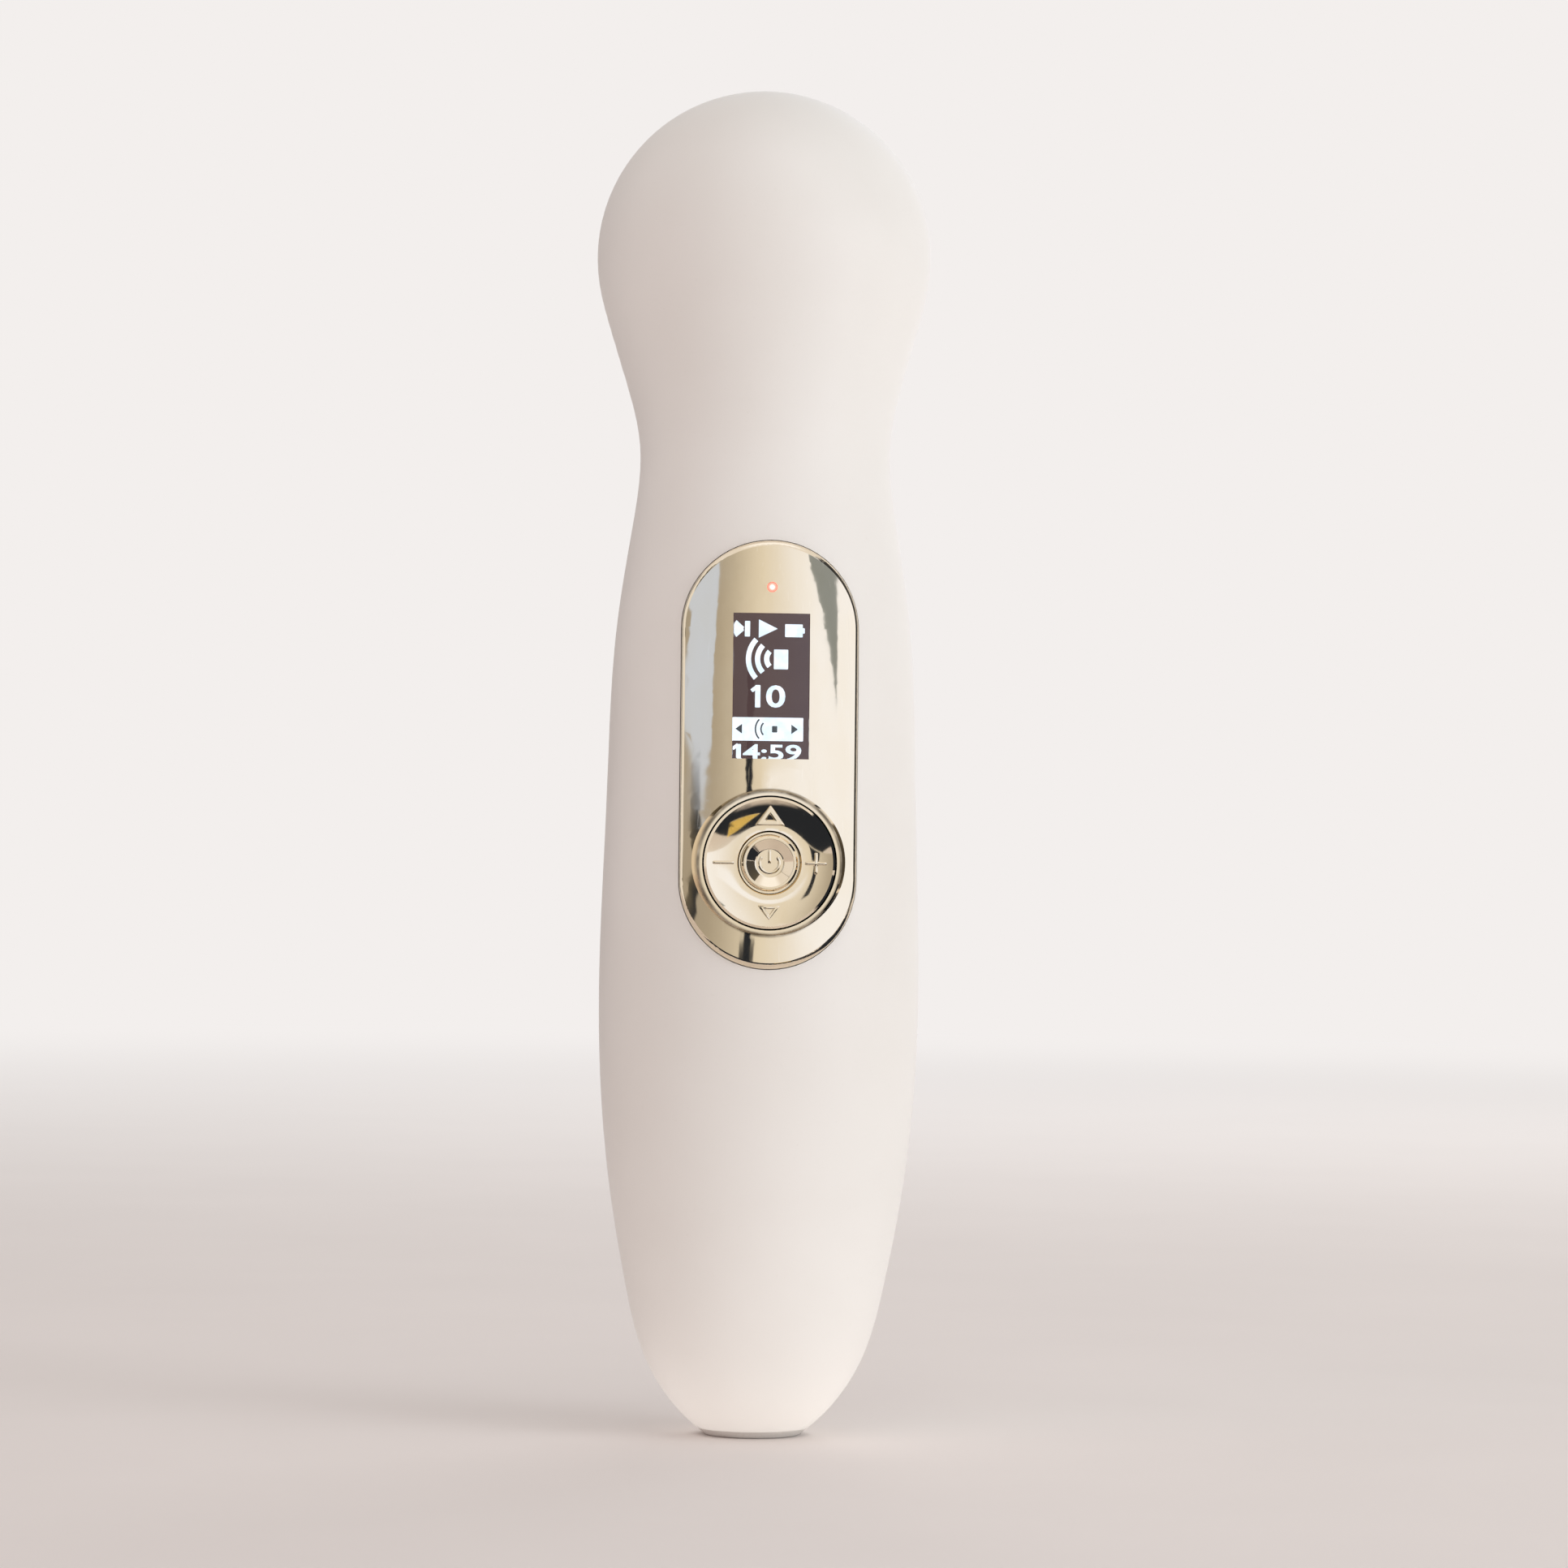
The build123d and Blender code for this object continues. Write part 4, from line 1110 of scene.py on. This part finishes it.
@dataclass
class SubAssembly:
    """A group of CAD nodes that get their finishes, and new pieces that go with them."""

    shop: Paintshop
    nodes: tuple[str, ...] = ()
    special: dict[str, Finish] = field(default_factory=dict)

    def dress(self) -> None:
        """Puts each node's finish on it, from its slot in the record."""
        slots = {row["node"]: row["material_slot"] for row in frame["record"]["subparts"]}
        for name in self.nodes:
            finish = self.special.get(name, FINISHES[slots[name]])
            self.shop.dress(frame["nodes"][name], finish)
            LOG.info("%s: %s", name, finish.name)

    def add(self, blank: Blank, finish: Finish, body: Body, slot: str) -> None:
        """Finishes a new piece and hangs it on its body.

        Args:
            blank: The new piece.
            finish: Its finish.
            body: The body that it rides on.
            slot: The record's slot for the piece's finish; not used.
        """
        self.shop.dress(blank.piece, finish)
        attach(blank.piece, body.value)
        LOG.info("%s: new piece on %s", blank.piece.name, body.value)

    def build(self) -> None:
        """Models the new pieces; most groups have none."""

    def make(self) -> None:
        """Dresses the nodes and builds the new pieces."""
        self.dress()
        self.build()


@dataclass
class Keys(SubAssembly):
    """The four-way key, its gimbal and mat, and the power button, with their raised signs."""

    sign_height: float = 0.1
    root: float = 0.15
    stroke: float = 0.5
    rounding: float = 0.18
    up_radius: float = 7.0
    down_radius: float = 7.3
    side_radius: float = 6.8
    up_sign: tuple[float, ...] = (4.4, 3.05, 0.8)  # base, height and stroke
    down_sign: tuple[float, ...] = (3.3, -2.2, 0.5)
    arm: float = 1.6
    arm_steps: int = 3
    front: float = -24.0
    power_radius: float = 1.45
    power_arc: tuple[float, float] = (140.0, 260.0)  # start and sweep in degrees
    power_steps: int = 28
    power_bar_rise: float = 0.95
    power_bar_length: float = 2.1
    flange_radius: float = 5.9
    flange_depths: tuple[float, float] = (19.95, 20.65)
    stem_radius: float = 2.0
    stem_depth: float = 16.4
    cap_radius: float = 4.15
    cap_depth: float = 22.99
    cap_corners: int = 128
    cap_bevel: float = 0.05
    rim: float = 0.35
    slack: float = 0.05
    dish: tuple[tuple[float, float], ...] = (
        (0.3, 0.35),
        (0.35, 0.0),
        (1.35, -0.98),
        (0.15, -0.04),
    )

    def triangle(self, name: str, height: float, base: float, lift: float, stroke: float) -> Blank:
        """An outlined triangle.

        Args:
            name: The piece's name.
            height: Where its middle is above the key's middle, in millimetres.
            base: How wide it is in millimetres.
            lift: How high it is in millimetres; below 0 it points down.
            stroke: The width of its outline in millimetres.

        Returns:
            The flat outline.
        """
        sign = Blank.disc(name, Vector((0.0, self.front, 0.0)), 1.0, 3)
        sign.fit(Vector((0.0, self.front, KEY_Z + height)), base, lift)
        sign.edit()
        sign.pick(Part.FACES)
        bpy.ops.mesh.inset(thickness=stroke * MM, use_even_offset=True)
        bpy.ops.mesh.delete(type="FACE")
        sign.pick(Part.EDGES)
        bpy.ops.mesh.subdivide(number_cuts=3)
        sign.done()
        return sign

    def cross(self, name: str, right: float, bars: tuple[Vector, ...]) -> Blank:
        """A plus or minus sign, extruded from a small square.

        Args:
            name: The piece's name.
            right: How far it is to the right of the key's middle, in millimetres.
            bars: The directions of its bars.

        Returns:
            The flat sign.
        """
        centre = Vector((right, self.front, KEY_Z))
        sign = Blank.sheet(name, centre, self.stroke, self.stroke)
        for bar in bars:
            sign.edit()
            edge = centre + bar * self.stroke / 2
            sign.pick(Part.EDGES, lambda place: (place - edge).length < self.stroke * 0.1)
            step = bar * (self.arm - self.stroke / 2) / self.arm_steps * MM
            for _ in range(self.arm_steps):
                bpy.ops.mesh.extrude_region_move(TRANSFORM_OT_translate={"value": step})
            sign.done()
        return sign

    def cap(self) -> Blank:
        """Models the power button in its node's place, with the deep dish that the photo shows.

        Returns:
            The finished button.
        """
        Blank.clear()
        back, front = self.flange_depths
        bpy.ops.mesh.primitive_cylinder_add(
            vertices=self.cap_corners,
            radius=self.flange_radius * MM,
            depth=(front - back) * MM,
            location=Vector((0.0, -(front + back) / 2, KEY_Z)) * MM,
            rotation=(math.pi / 2, 0.0, 0.0),
        )
        cap = Blank("power_cap")
        cap.edit()
        cap.pick(Part.FACES, lambda place: -place.y > front - self.slack)
        bpy.ops.mesh.inset(thickness=(self.flange_radius - self.cap_radius) * MM)
        rise = Vector((0.0, front - self.cap_depth + self.rim, 0.0)) * MM
        bpy.ops.mesh.extrude_region_move(TRANSFORM_OT_translate={"value": rise})
        for thickness, depth in self.dish:
            bpy.ops.mesh.inset(thickness=thickness * MM, depth=depth * MM)
        cap.pick(Part.FACES, lambda place: -place.y < back + self.slack)
        bpy.ops.mesh.inset(thickness=(self.flange_radius - self.stem_radius) * MM)
        stem = Vector((0.0, back - self.stem_depth, 0.0)) * MM
        bpy.ops.mesh.extrude_region_move(TRANSFORM_OT_translate={"value": stem})
        cap.done()
        cap.smooth(12.0)
        cap.modify(
            "BEVEL",
            width=self.cap_bevel * MM,
            segments=2,
            limit_method="ANGLE",
            angle_limit=math.radians(20),
            harden_normals=True,
        )
        return cap

    def emboss(self, sign: Blank, carrier: bpy.types.Object) -> None:
        """Lays a flat sign on the curved face of a piece and raises it with soft edges.

        Args:
            sign: The flat sign.
            carrier: The piece that it stands on.
        """
        sign.modify(
            "SHRINKWRAP",
            target=carrier,
            wrap_method="PROJECT",
            use_project_y=True,
            use_positive_direction=True,
            use_negative_direction=False,
        )
        sign.face_user()
        depths = [vertex.co.y for vertex in sign.piece.data.vertices]
        front = min(depths)
        sign.edit()
        sign.pick(Part.VERTS)
        bpy.ops.transform.resize(value=(1.0, 0.0, 1.0), center_override=(0.0, front, 0.0))
        bpy.ops.transform.translate(value=(0.0, -self.sign_height * MM, 0.0))
        sign.done()
        thickness = max(depths) - front + (self.sign_height + self.root) * MM
        sign.modify("SOLIDIFY", thickness=thickness, offset=-1.0)
        sign.modify(
            "BEVEL",
            width=self.rounding * MM,
            segments=2,
            limit_method="ANGLE",
            angle_limit=math.radians(40),
        )
        sign.smooth()

    def build(self) -> None:
        """Raises the four signs on the key, and models the power button with its sign."""
        sideways = (Vector((1.0, 0.0, 0.0)), Vector((-1.0, 0.0, 0.0)))
        upright = (Vector((0.0, 0.0, 1.0)), Vector((0.0, 0.0, -1.0)))
        signs = [
            self.triangle("key_up_sign", self.up_radius, *self.up_sign),
            self.triangle("key_down_sign", -self.down_radius, *self.down_sign),
            self.cross("key_plus_sign", self.side_radius, sideways + upright),
            self.cross("key_minus_sign", -self.side_radius, sideways),
        ]
        for sign in signs:
            self.emboss(sign, frame["nodes"]["key_ring"])
            self.add(sign, FINISHES["gold_plating"], Body.KEY, "gold_plating")
        centre = Vector((0.0, self.front, KEY_Z))
        power = arc_band(
            "power_sign", centre, self.power_radius, self.stroke, *self.power_arc, self.power_steps
        )
        middle = centre + Vector((0.0, 0.0, self.power_bar_rise))
        bar = Blank.sheet("power_bar", middle, self.stroke, self.power_bar_length)
        bar.edit()
        bar.pick(Part.EDGES, lambda place: abs(place.x) > self.stroke * 0.4)
        bpy.ops.mesh.subdivide(number_cuts=3)
        bar.done()
        power.join(bar)
        cap = self.cap()
        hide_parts("power_button")
        self.add(cap, FINISHES["gold_plating"], Body.POWER, "gold_plating")
        self.emboss(power, cap.piece)
        self.add(power, FINISHES["gold_plating"], Body.POWER, "gold_plating")


@dataclass
class Display(SubAssembly):
    """The bezel, its window and the display glass, with the lit icons and figures."""

    thickness: float = 0.03
    nip: float = 0.07
    wave_arc: tuple[float, float] = (138.0, 84.0)  # start and sweep in degrees
    wave_steps: int = 12
    left: float = -5.35
    top: float = 122.95

    def place(self, x: float, drop: float, lift: float = 0.0) -> Vector:
        """A place from the window's left and top, and in front of the glass, all in millimetres."""
        return Vector((self.left + x, -DISPLAY_DEPTH - lift, self.top - drop))

    def bar(
        self,
        x: float,
        drop: float,
        width: float,
        height: float,
        lift: float = 0.0,
        turn: float = 0.0,
    ) -> Blank:
        """A lit rectangle, with its corners nipped like pixels.

        Args:
            x: Its left side, in millimetres from the left of the window.
            drop: Its top, in millimetres down from the top of the window.
            width: Its width in millimetres.
            height: Its height in millimetres.
            lift: How far in front of the glass, in millimetres.
            turn: How far it is turned about its middle, in degrees.

        Returns:
            The flat rectangle.
        """
        centre = self.place(x + width / 2, drop + height / 2, lift)
        made = Blank.sheet("pixel_bar", centre, width, height, math.radians(turn))
        made.edit()
        made.pick(Part.VERTS)
        bpy.ops.mesh.bevel(offset=self.nip * MM, affect="VERTICES", segments=1)
        made.done()
        return made

    def arrow(
        self,
        x: float,
        drop: float,
        width: float,
        height: float,
        lift: float = 0.0,
        turn: float = 0.0,
    ) -> Blank:
        """A lit triangle that points right.

        Args:
            x: Its left side, in millimetres from the left of the window.
            drop: Its top, in millimetres down from the top of the window.
            width: Its width in millimetres.
            height: Its height in millimetres.
            lift: How far in front of the glass, in millimetres.
            turn: How far it is turned, in radians; pi makes it point left.

        Returns:
            The flat triangle.
        """
        made = Blank.disc("pixel_arrow", Vector(), 1.0, 3, math.pi / 2 + turn)
        made.fit(self.place(x + width / 2, drop + height / 2, lift), width, height)
        made.face_user()
        return made

    def waves(
        self, x: float, drop: float, radii: tuple[float, ...], width: float, lift: float = 0.0
    ) -> list[Blank]:
        """Curved strokes of given radii and width round a place, open to the right."""
        place, shape = self.place(x, drop, lift), (width, *self.wave_arc, self.wave_steps)
        return [arc_band("pixel_wave", place, radius, *shape) for radius in radii]

    def light(self, name: str, parts: list[Blank], finish: Finish) -> None:
        """Joins flat parts and gives them a little thickness.

        Args:
            name: The piece's name.
            parts: The flat parts.
            finish: Their finish.
        """
        whole = joined(name, parts)
        whole.face_user()
        whole.modify("SOLIDIFY", thickness=self.thickness * MM, offset=1.0)
        self.add(whole, finish, Body.HOUSING, "display_glass")

    def build(self) -> None:
        """Lays out the icons, the figures and the bar as the display shows them."""
        lit = [
            Blank.words("pixel_count", self.place(6.12, 12.25), "0", 3.3, 2.75),
            self.bar(3.2, 10.6, 0.75, 3.3),  # the 1 before it
            self.bar(2.55, 10.85, 1.15, 0.55, turn=-38.0),
            Blank.words("pixel_clock", self.place(5.72, 20.5), "4:59", 2.4, 8.3),
            self.bar(0.6, 19.3, 0.7, 2.4),  # the 1 before it
            self.bar(-0.05, 19.45, 1.05, 0.5, turn=-38.0),
            self.arrow(3.6, 0.95, 2.7, 2.7),
            self.bar(7.35, 1.6, 2.55, 1.9),  # the battery and its cap
            self.bar(9.85, 2.15, 0.35, 0.8),
            self.bar(5.8, 5.35, 2.05, 2.9),  # the square by the waves
            self.bar(-0.4, 15.35, 10.5, 3.45),  # the white strip
            self.bar(1.6, 1.2, 0.75, 2.3),
            *self.waves(6.42, 6.75, (4.25, 2.95, 1.65), 0.75),
            *self.waves(1.75, 2.35, (1.6, 1.1, 0.6), 0.5),
        ]
        self.light("display_symbols", lit, PIXELS)
        marks = [
            self.arrow(0.45, 16.35, 0.95, 1.4, self.thickness, math.pi),
            self.arrow(8.4, 16.35, 0.95, 1.4, self.thickness),
            self.bar(5.65, 16.6, 0.75, 0.95, self.thickness),
            *self.waves(5.4, 17.05, (2.1, 1.3), 0.22, self.thickness),
        ]
        self.light("display_bar_marks", marks, BAR_MARKS)


@dataclass
class ChargePort(SubAssembly):
    """The charging socket with its board; its tongue gets contact strips."""

    pitch: float = 0.5
    contacts: int = 12
    contact_width: float = 0.28
    contact_length: float = 2.6
    contact_thickness: float = 0.08
    contact_bevel: float = 0.02
    middle: float = 1.9
    side: float = 0.35

    def build(self) -> None:
        """Models one contact strip and copies it along both faces of the tongue."""
        low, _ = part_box("charge_port_tongue")
        first_x = -(self.contacts - 1) / 2 * self.pitch
        centre = Vector((first_x, -self.side, low.z / MM + self.middle))
        first = Blank.sheet("contact_strip", centre, self.contact_width, self.contact_length)
        strips = [first]
        for row in range(2):
            for index in range(self.contacts):
                if row or index:
                    shift = Vector((index * self.pitch, row * 2 * self.side, 0.0))
                    strips.append(first.copy(shift))
        whole = joined("charge_port_contacts", strips)
        whole.modify("SOLIDIFY", thickness=self.contact_thickness * MM, offset=0.0)
        whole.modify("BEVEL", width=self.contact_bevel * MM, segments=1, limit_method="ANGLE")
        self.add(whole, FINISHES["gold_plating"], Body.HOUSING, "gold_plating")


# ---------------------------------------------------------------- studio


@dataclass(frozen=True)
class Card:
    """A card that only mirrors see.

    Attributes:
        name: Its name.
        azimuth: Its direction in degrees, positive to the right.
        elevation: Its elevation in degrees; None lays it on the floor.
        width: Its width in metres.
        height: Its height in metres, or its depth where it lies.
        left: The light of its left side.
        right: The light of its right side.
        narrowing: The share of its height over which it narrows to a point, from below.
        lean: How far the point is to the right of its middle, as a share of its width.
        distance: How far from the object it is, in metres.
        ramp: Where across it the light changes from left to right, from -0.5 to 0.5.
        soft: How far its edges fade, as a share of its width and height.
    """

    name: str
    azimuth: float
    elevation: float | None
    width: float
    height: float
    left: tuple[float, float, float]
    right: tuple[float, float, float]
    narrowing: float = 0.0
    lean: float = 0.0
    distance: float = 0.75
    ramp: tuple[float, float] = (-0.5, 0.5)
    soft: float = 0.04


KHAKI = (0.44, 0.40, 0.34)
CREAM = (0.86, 0.82, 0.74)
DAYLIGHT = (1.06, 1.12, 1.28)
WINDOW = (0.66, 0.76, 0.98)
GLARE = (1.14, 1.16, 1.24)
UMBER = (0.13, 0.115, 0.09)
SHADE = (0.30, 0.34, 0.37)
DARK = (0.022, 0.026, 0.036)
AMBER = (0.98, 0.70, 0.20)

CARDS = (
    Card("left_room_card", -31.0, 5.0, 1.06, 0.95, KHAKI, CREAM, distance=0.85, ramp=(-0.1, 0.5)),
    Card("right_room_card", 29.5, 5.0, 1.1, 0.95, CREAM, DAYLIGHT, distance=0.84, ramp=(-0.5, 0.1)),
    Card("low_wall_card", 14.0, 1.9, 0.50, 0.09, DAYLIGHT, DAYLIGHT, distance=0.78, soft=0.25),
    Card("cool_window_card", -40.5, 12.8, 0.24, 0.275, WINDOW, WINDOW, 0.12, 0.12),
    Card("dark_doorway_card", 38.5, 13.2, 0.29, 0.19, SHADE, SHADE, 1.0, 0.3),
    Card("key_glare_card", 60.0, 10.0, 0.15, 0.5, DAYLIGHT, GLARE, distance=0.8),
    Card("left_side_card", -58.0, 2.0, 0.13, 0.9, UMBER, UMBER, distance=0.7),
    Card("right_side_card", 84.0, 10.0, 0.50, 1.1, UMBER, DARK, ramp=(-0.5, 0.0)),
    Card("right_table_card", 77.0, None, 0.30, 0.60, DARK, DARK, distance=0.38),
    Card("right_back_card", 116.0, 0.0, 0.16, 1.0, SHADE, DARK),
    Card("left_back_card", -132.0, 0.0, 0.66, 1.1, DARK, SHADE),
    Card("rear_room_card", 180.0, 18.0, 0.95, 0.8, DAYLIGHT, KHAKI, distance=0.9),
    Card("table_edge_card", -5.0, None, 0.42, 1.05, DARK, DARK, distance=0.66),
    Card("table_far_card", -17.0, -3.9, 0.42, 0.06, DARK, DARK, distance=0.9),
    Card("amber_card", 15.0, None, 0.07, 0.28, AMBER, AMBER, distance=0.40),
    Card("low_side_card", 60.0, 0.1, 0.11, 0.04, DARK, UMBER, distance=0.70, soft=0.15),
    Card("low_left_card", -42.5, -2.0, 0.09, 0.155, UMBER, DARK, distance=0.70, soft=0.15),
    Card("ceiling_card", 10.0, 64.0, 0.90, 0.66, GLARE, GLARE, distance=0.70, soft=0.3),
    Card("high_side_card", 58.0, 28.0, 0.22, 0.20, DARK, DARK, distance=0.70),
    Card("side_table_card", 53.0, None, 0.08, 0.30, DARK, DARK, distance=0.25),
    Card("stand_card", -8.5, 3.0, 0.05, 0.16, DARK, DARK, distance=0.70),
)


@dataclass(frozen=True)
class Lamp:
    """A soft area lamp that bright metal doesn't show.

    Attributes:
        name: Its name.
        azimuth: Its direction in degrees, positive to the right.
        elevation: Its elevation in degrees.
        power: Its power in watts.
        width: Its width in metres.
        colour: Its colour.
        height: Its height in metres.
        distance: How far from the object it is, in metres.
    """

    name: str
    azimuth: float
    elevation: float
    power: float
    width: float
    colour: str
    height: float = 0.5
    distance: float = 0.95


LAMPS = (
    Lamp("key_softbox", 58.0, 10.0, 2.15, 0.40, "F8FBFF"),
    Lamp("fill_softbox", -62.0, 12.0, 0.7, 0.7, "FFB8AC"),
    Lamp("rear_softbox", 158.0, 24.0, 1.8, 0.7, "FFFFFF"),
    Lamp("top_softbox", 20.0, 72.0, 1.9, 0.6, "FFFCF8"),
)
LAMP_TARGET = Vector((0.0, 0.0, 0.1))
CARD_TARGET = Vector((0.0, -0.02, 0.1))
CARD_GAP = 0.0006  # how far above the floor a card lies, in metres


@dataclass
class Studio:
    """Pale floor, soft lamps, cards that only mirrors see, and the camera."""

    backdrop: str = "F3EFED"
    room: str = "EFEBE9"
    floor_size: float = 12.0
    fade: tuple[float, float] = (250.0, 1300.0)
    bounce_place: tuple[float, float, float] = (0.47, -0.15, 0.001)
    bounce_power: float = 1.3
    bounce_size: float = 1.0
    bounce_colour: tuple[float, float, float] = (1.0, 0.97, 0.95)
    azimuth: float = -4.0
    distance: float = 800.0
    aim_height: float = 97.9
    aim_right: float = 3.5
    roll: float = 0.8
    lens: float = 122.0
    ambient: float = 0.57

    def world(self) -> None:
        """A pale world that mirrors and the camera see as the backdrop."""
        world = bpy.data.worlds.new("studio_world")
        bpy.context.scene.world = world
        world.use_nodes = True
        nodes = Nodes(world.node_tree)
        path = nodes.node("ShaderNodeLightPath")
        camera, glossy, through = (
            Value(nodes, path.outputs[name])
            for name in ("Is Camera Ray", "Is Glossy Ray", "Is Transmission Ray")
        )
        seen = camera.maths("MAXIMUM", glossy.maths("MAXIMUM", through))
        light, backdrop = (
            nodes.node("ShaderNodeBackground", {}, {"Color": colour, "Strength": strength})
            for colour, strength in ((self.room, self.ambient), (self.backdrop, 1.0))
        )
        sockets = {0: seen, 1: light.outputs[0], 2: backdrop.outputs[0]}
        nodes.finish("OUTPUT_WORLD", nodes.node("ShaderNodeMixShader", {}, sockets))

    def floor(self) -> None:
        """A matte floor that fades into the backdrop away from the object."""
        Blank.clear()
        bpy.ops.mesh.primitive_plane_add(size=self.floor_size)
        floor = Blank("studio_floor")
        shader = Shader("matte_floor")
        x, y, _ = shader.axes()
        far = reach(x, y).step(*self.fade)
        cloud = shader.noise(60.0, 3.0)
        shader.set(
            Base_Color=shader.blend(cloud, "F1EBE8", "ECE6E3"),
            Roughness=0.6 + cloud * 0.06,
            Specular_IOR_Level=0.0,
        )
        glow = shader.node("ShaderNodeEmission", {}, {"Color": self.backdrop, "Strength": 1.0})
        sockets = {0: far, 1: shader.surface.outputs[0], 2: glow.outputs[0]}
        shader.finish("OUTPUT_MATERIAL", shader.node("ShaderNodeMixShader", {}, sockets))
        floor.piece.data.materials.append(shader.material)

    def aim(self, item: bpy.types.Object, place: Vector, target: Vector) -> None:
        """Puts a lamp or card at a place so that it faces a target, both in metres."""
        item.location = place
        item.rotation_euler = (target - place).to_track_quat("-Z", "Y").to_euler()

    def direction(self, azimuth: float, elevation: float) -> Vector:
        """A direction from the object.

        Args:
            azimuth: In degrees, 0 towards the user and positive to the right.
            elevation: In degrees.

        Returns:
            The unit vector.
        """
        turn, rise = math.radians(azimuth), math.radians(elevation)
        level = math.cos(rise)
        return Vector((math.sin(turn) * level, -math.cos(turn) * level, math.sin(rise)))

    def lamp(self, lamp: Lamp) -> None:
        """Sets up a lamp.

        Args:
            lamp: Its place, power, size and colour.
        """
        Blank.clear()
        bpy.ops.object.light_add(type="AREA")
        made = bpy.context.object
        made.name = lamp.name
        made.data.shape = "RECTANGLE"
        made.data.energy = lamp.power
        made.data.size = lamp.width
        made.data.size_y = lamp.height
        made.data.color = shade(lamp.colour)
        made.visible_glossy = False
        away = self.direction(lamp.azimuth, lamp.elevation) * lamp.distance
        self.aim(made, LAMP_TARGET + away, LAMP_TARGET)

    def bounce(self) -> None:
        """A bounce board that lies beside the object and lights its right side from below."""
        Blank.clear()
        turn = (math.pi, 0.0, 0.0)
        bpy.ops.object.light_add(type="AREA", location=self.bounce_place, rotation=turn)
        board = bpy.context.object
        board.name = "bounce_board"
        board.data.energy = self.bounce_power
        board.data.color = self.bounce_colour
        board.data.size = self.bounce_size
        board.visible_glossy = False

    def card(self, card: Card) -> None:
        """Hangs or lays a card, with soft edges.

        Args:
            card: Its place, size and light.
        """
        Blank.clear()
        bpy.ops.mesh.primitive_plane_add(size=1.0)
        sheet = bpy.context.object
        sheet.name = card.name
        sheet.scale = (card.width, card.height, 1.0)
        away = self.direction(card.azimuth, card.elevation or 0.0) * card.distance
        self.aim(sheet, CARD_TARGET + away, CARD_TARGET)
        if card.elevation is None:
            sheet.location.z = CARD_GAP
            sheet.rotation_euler = (0.0, 0.0, math.radians(card.azimuth))
        shader = Shader(card.name)
        x, y, _ = (part * MM for part in shader.axes())
        width = ((y + 0.5) * (1.0 / max(card.narrowing, 0.001))).maths("MINIMUM", 1.0)
        edge = abs(x + (width - 1.0) * card.lean) - width * 0.5
        mask = edge.step(0.0, -card.soft) * abs(y).step(0.5, 0.5 - card.soft)
        light = shader.blend(x.step(*card.ramp), card.left, card.right)
        glow = shader.node("ShaderNodeEmission", {}, {"Color": light, "Strength": 1.0})
        clear = shader.node("ShaderNodeBsdfTransparent")
        sockets = {0: mask, 1: clear.outputs[0], 2: glow.outputs[0]}
        shader.finish("OUTPUT_MATERIAL", shader.node("ShaderNodeMixShader", {}, sockets))
        sheet.data.materials.append(shader.material)
        for ray in ("camera", "diffuse", "shadow", "transmission"):
            setattr(sheet, f"visible_{ray}", False)

    def camera(self) -> None:
        """The camera at the photograph's angle and framing."""
        Blank.clear()
        bpy.ops.object.camera_add()
        camera = bpy.context.object
        camera.name = "photo_camera"
        camera.data.sensor_width = 36.0
        camera.data.lens = self.lens
        back = self.direction(self.azimuth, 0.0)
        right = Vector((0.0, 0.0, 1.0)).cross(back)
        target = (Vector((0.0, 0.0, self.aim_height)) + right * self.aim_right) * MM
        camera.location = target + back * self.distance * MM
        roll = Matrix.Rotation(math.radians(self.roll), 3, back)
        camera.rotation_euler = (roll @ (-back).to_track_quat("-Z", "Y").to_matrix()).to_euler()
        bpy.context.scene.camera = camera

    def make(self) -> None:
        """Sets up the whole studio."""
        bpy.context.scene.view_settings.view_transform = "Standard"
        self.world()
        self.floor()
        for lamp in LAMPS:
            self.lamp(lamp)
        self.bounce()
        for card in CARDS:
            self.card(card)
        self.camera()


BODY_NODES = ("front_shell", "rear_shell", "shell_screws")
DISPLAY_NODES = (
    "control_bezel", "bezel_adhesive", "display_lens", "display_panel", "display_bracket",
    "display_ribbon", "ribbon_connector", "indicator_light_pipe", "indicator_led",
)
KEY_NODES = ("key_ring", "key_gimbal", "power_button", "keypad_mat", "tact_switches")
BOARD_NODES = (
    "chassis", "chassis_screws", "main_board", "board_screws", "controller_chips", "board_link",
    "driver_board", "transformer_core", "transformer_coil", "boost_inductor",
    "power_transistors", "driver_capacitors",
)
BATTERY_NODES = ("battery_cell", "battery_tabs", "battery_foam_pad", "battery_leads")
PORT_NODES = ("charge_board", "charge_chip", "charge_port_shell", "charge_port_tongue")
HEAD_NODES = (
    "treatment_probe", "piezo_disc", "probe_gasket", "light_ring", "head_seal", "head_rim_ring",
    "led_board", "red_leds", "head_carrier", "carrier_screws", "transducer_leads", "led_leads",
)


def main() -> None:
    """Builds the groups in order and reports each piece."""
    logging.basicConfig(level=logging.INFO, format="%(message)s")
    shop = Paintshop()
    groups = [
        SubAssembly(shop, BODY_NODES),
        Display(shop, DISPLAY_NODES, {"indicator_light_pipe": INDICATOR, "control_bezel": BEZEL}),
        Keys(shop, KEY_NODES),
        SubAssembly(shop, BOARD_NODES),
        SubAssembly(shop, BATTERY_NODES),
        ChargePort(shop, PORT_NODES),
        SubAssembly(shop, HEAD_NODES),
    ]
    for group in groups:
        group.make()
    Studio().make()


if __name__ == "__main__":
    main()
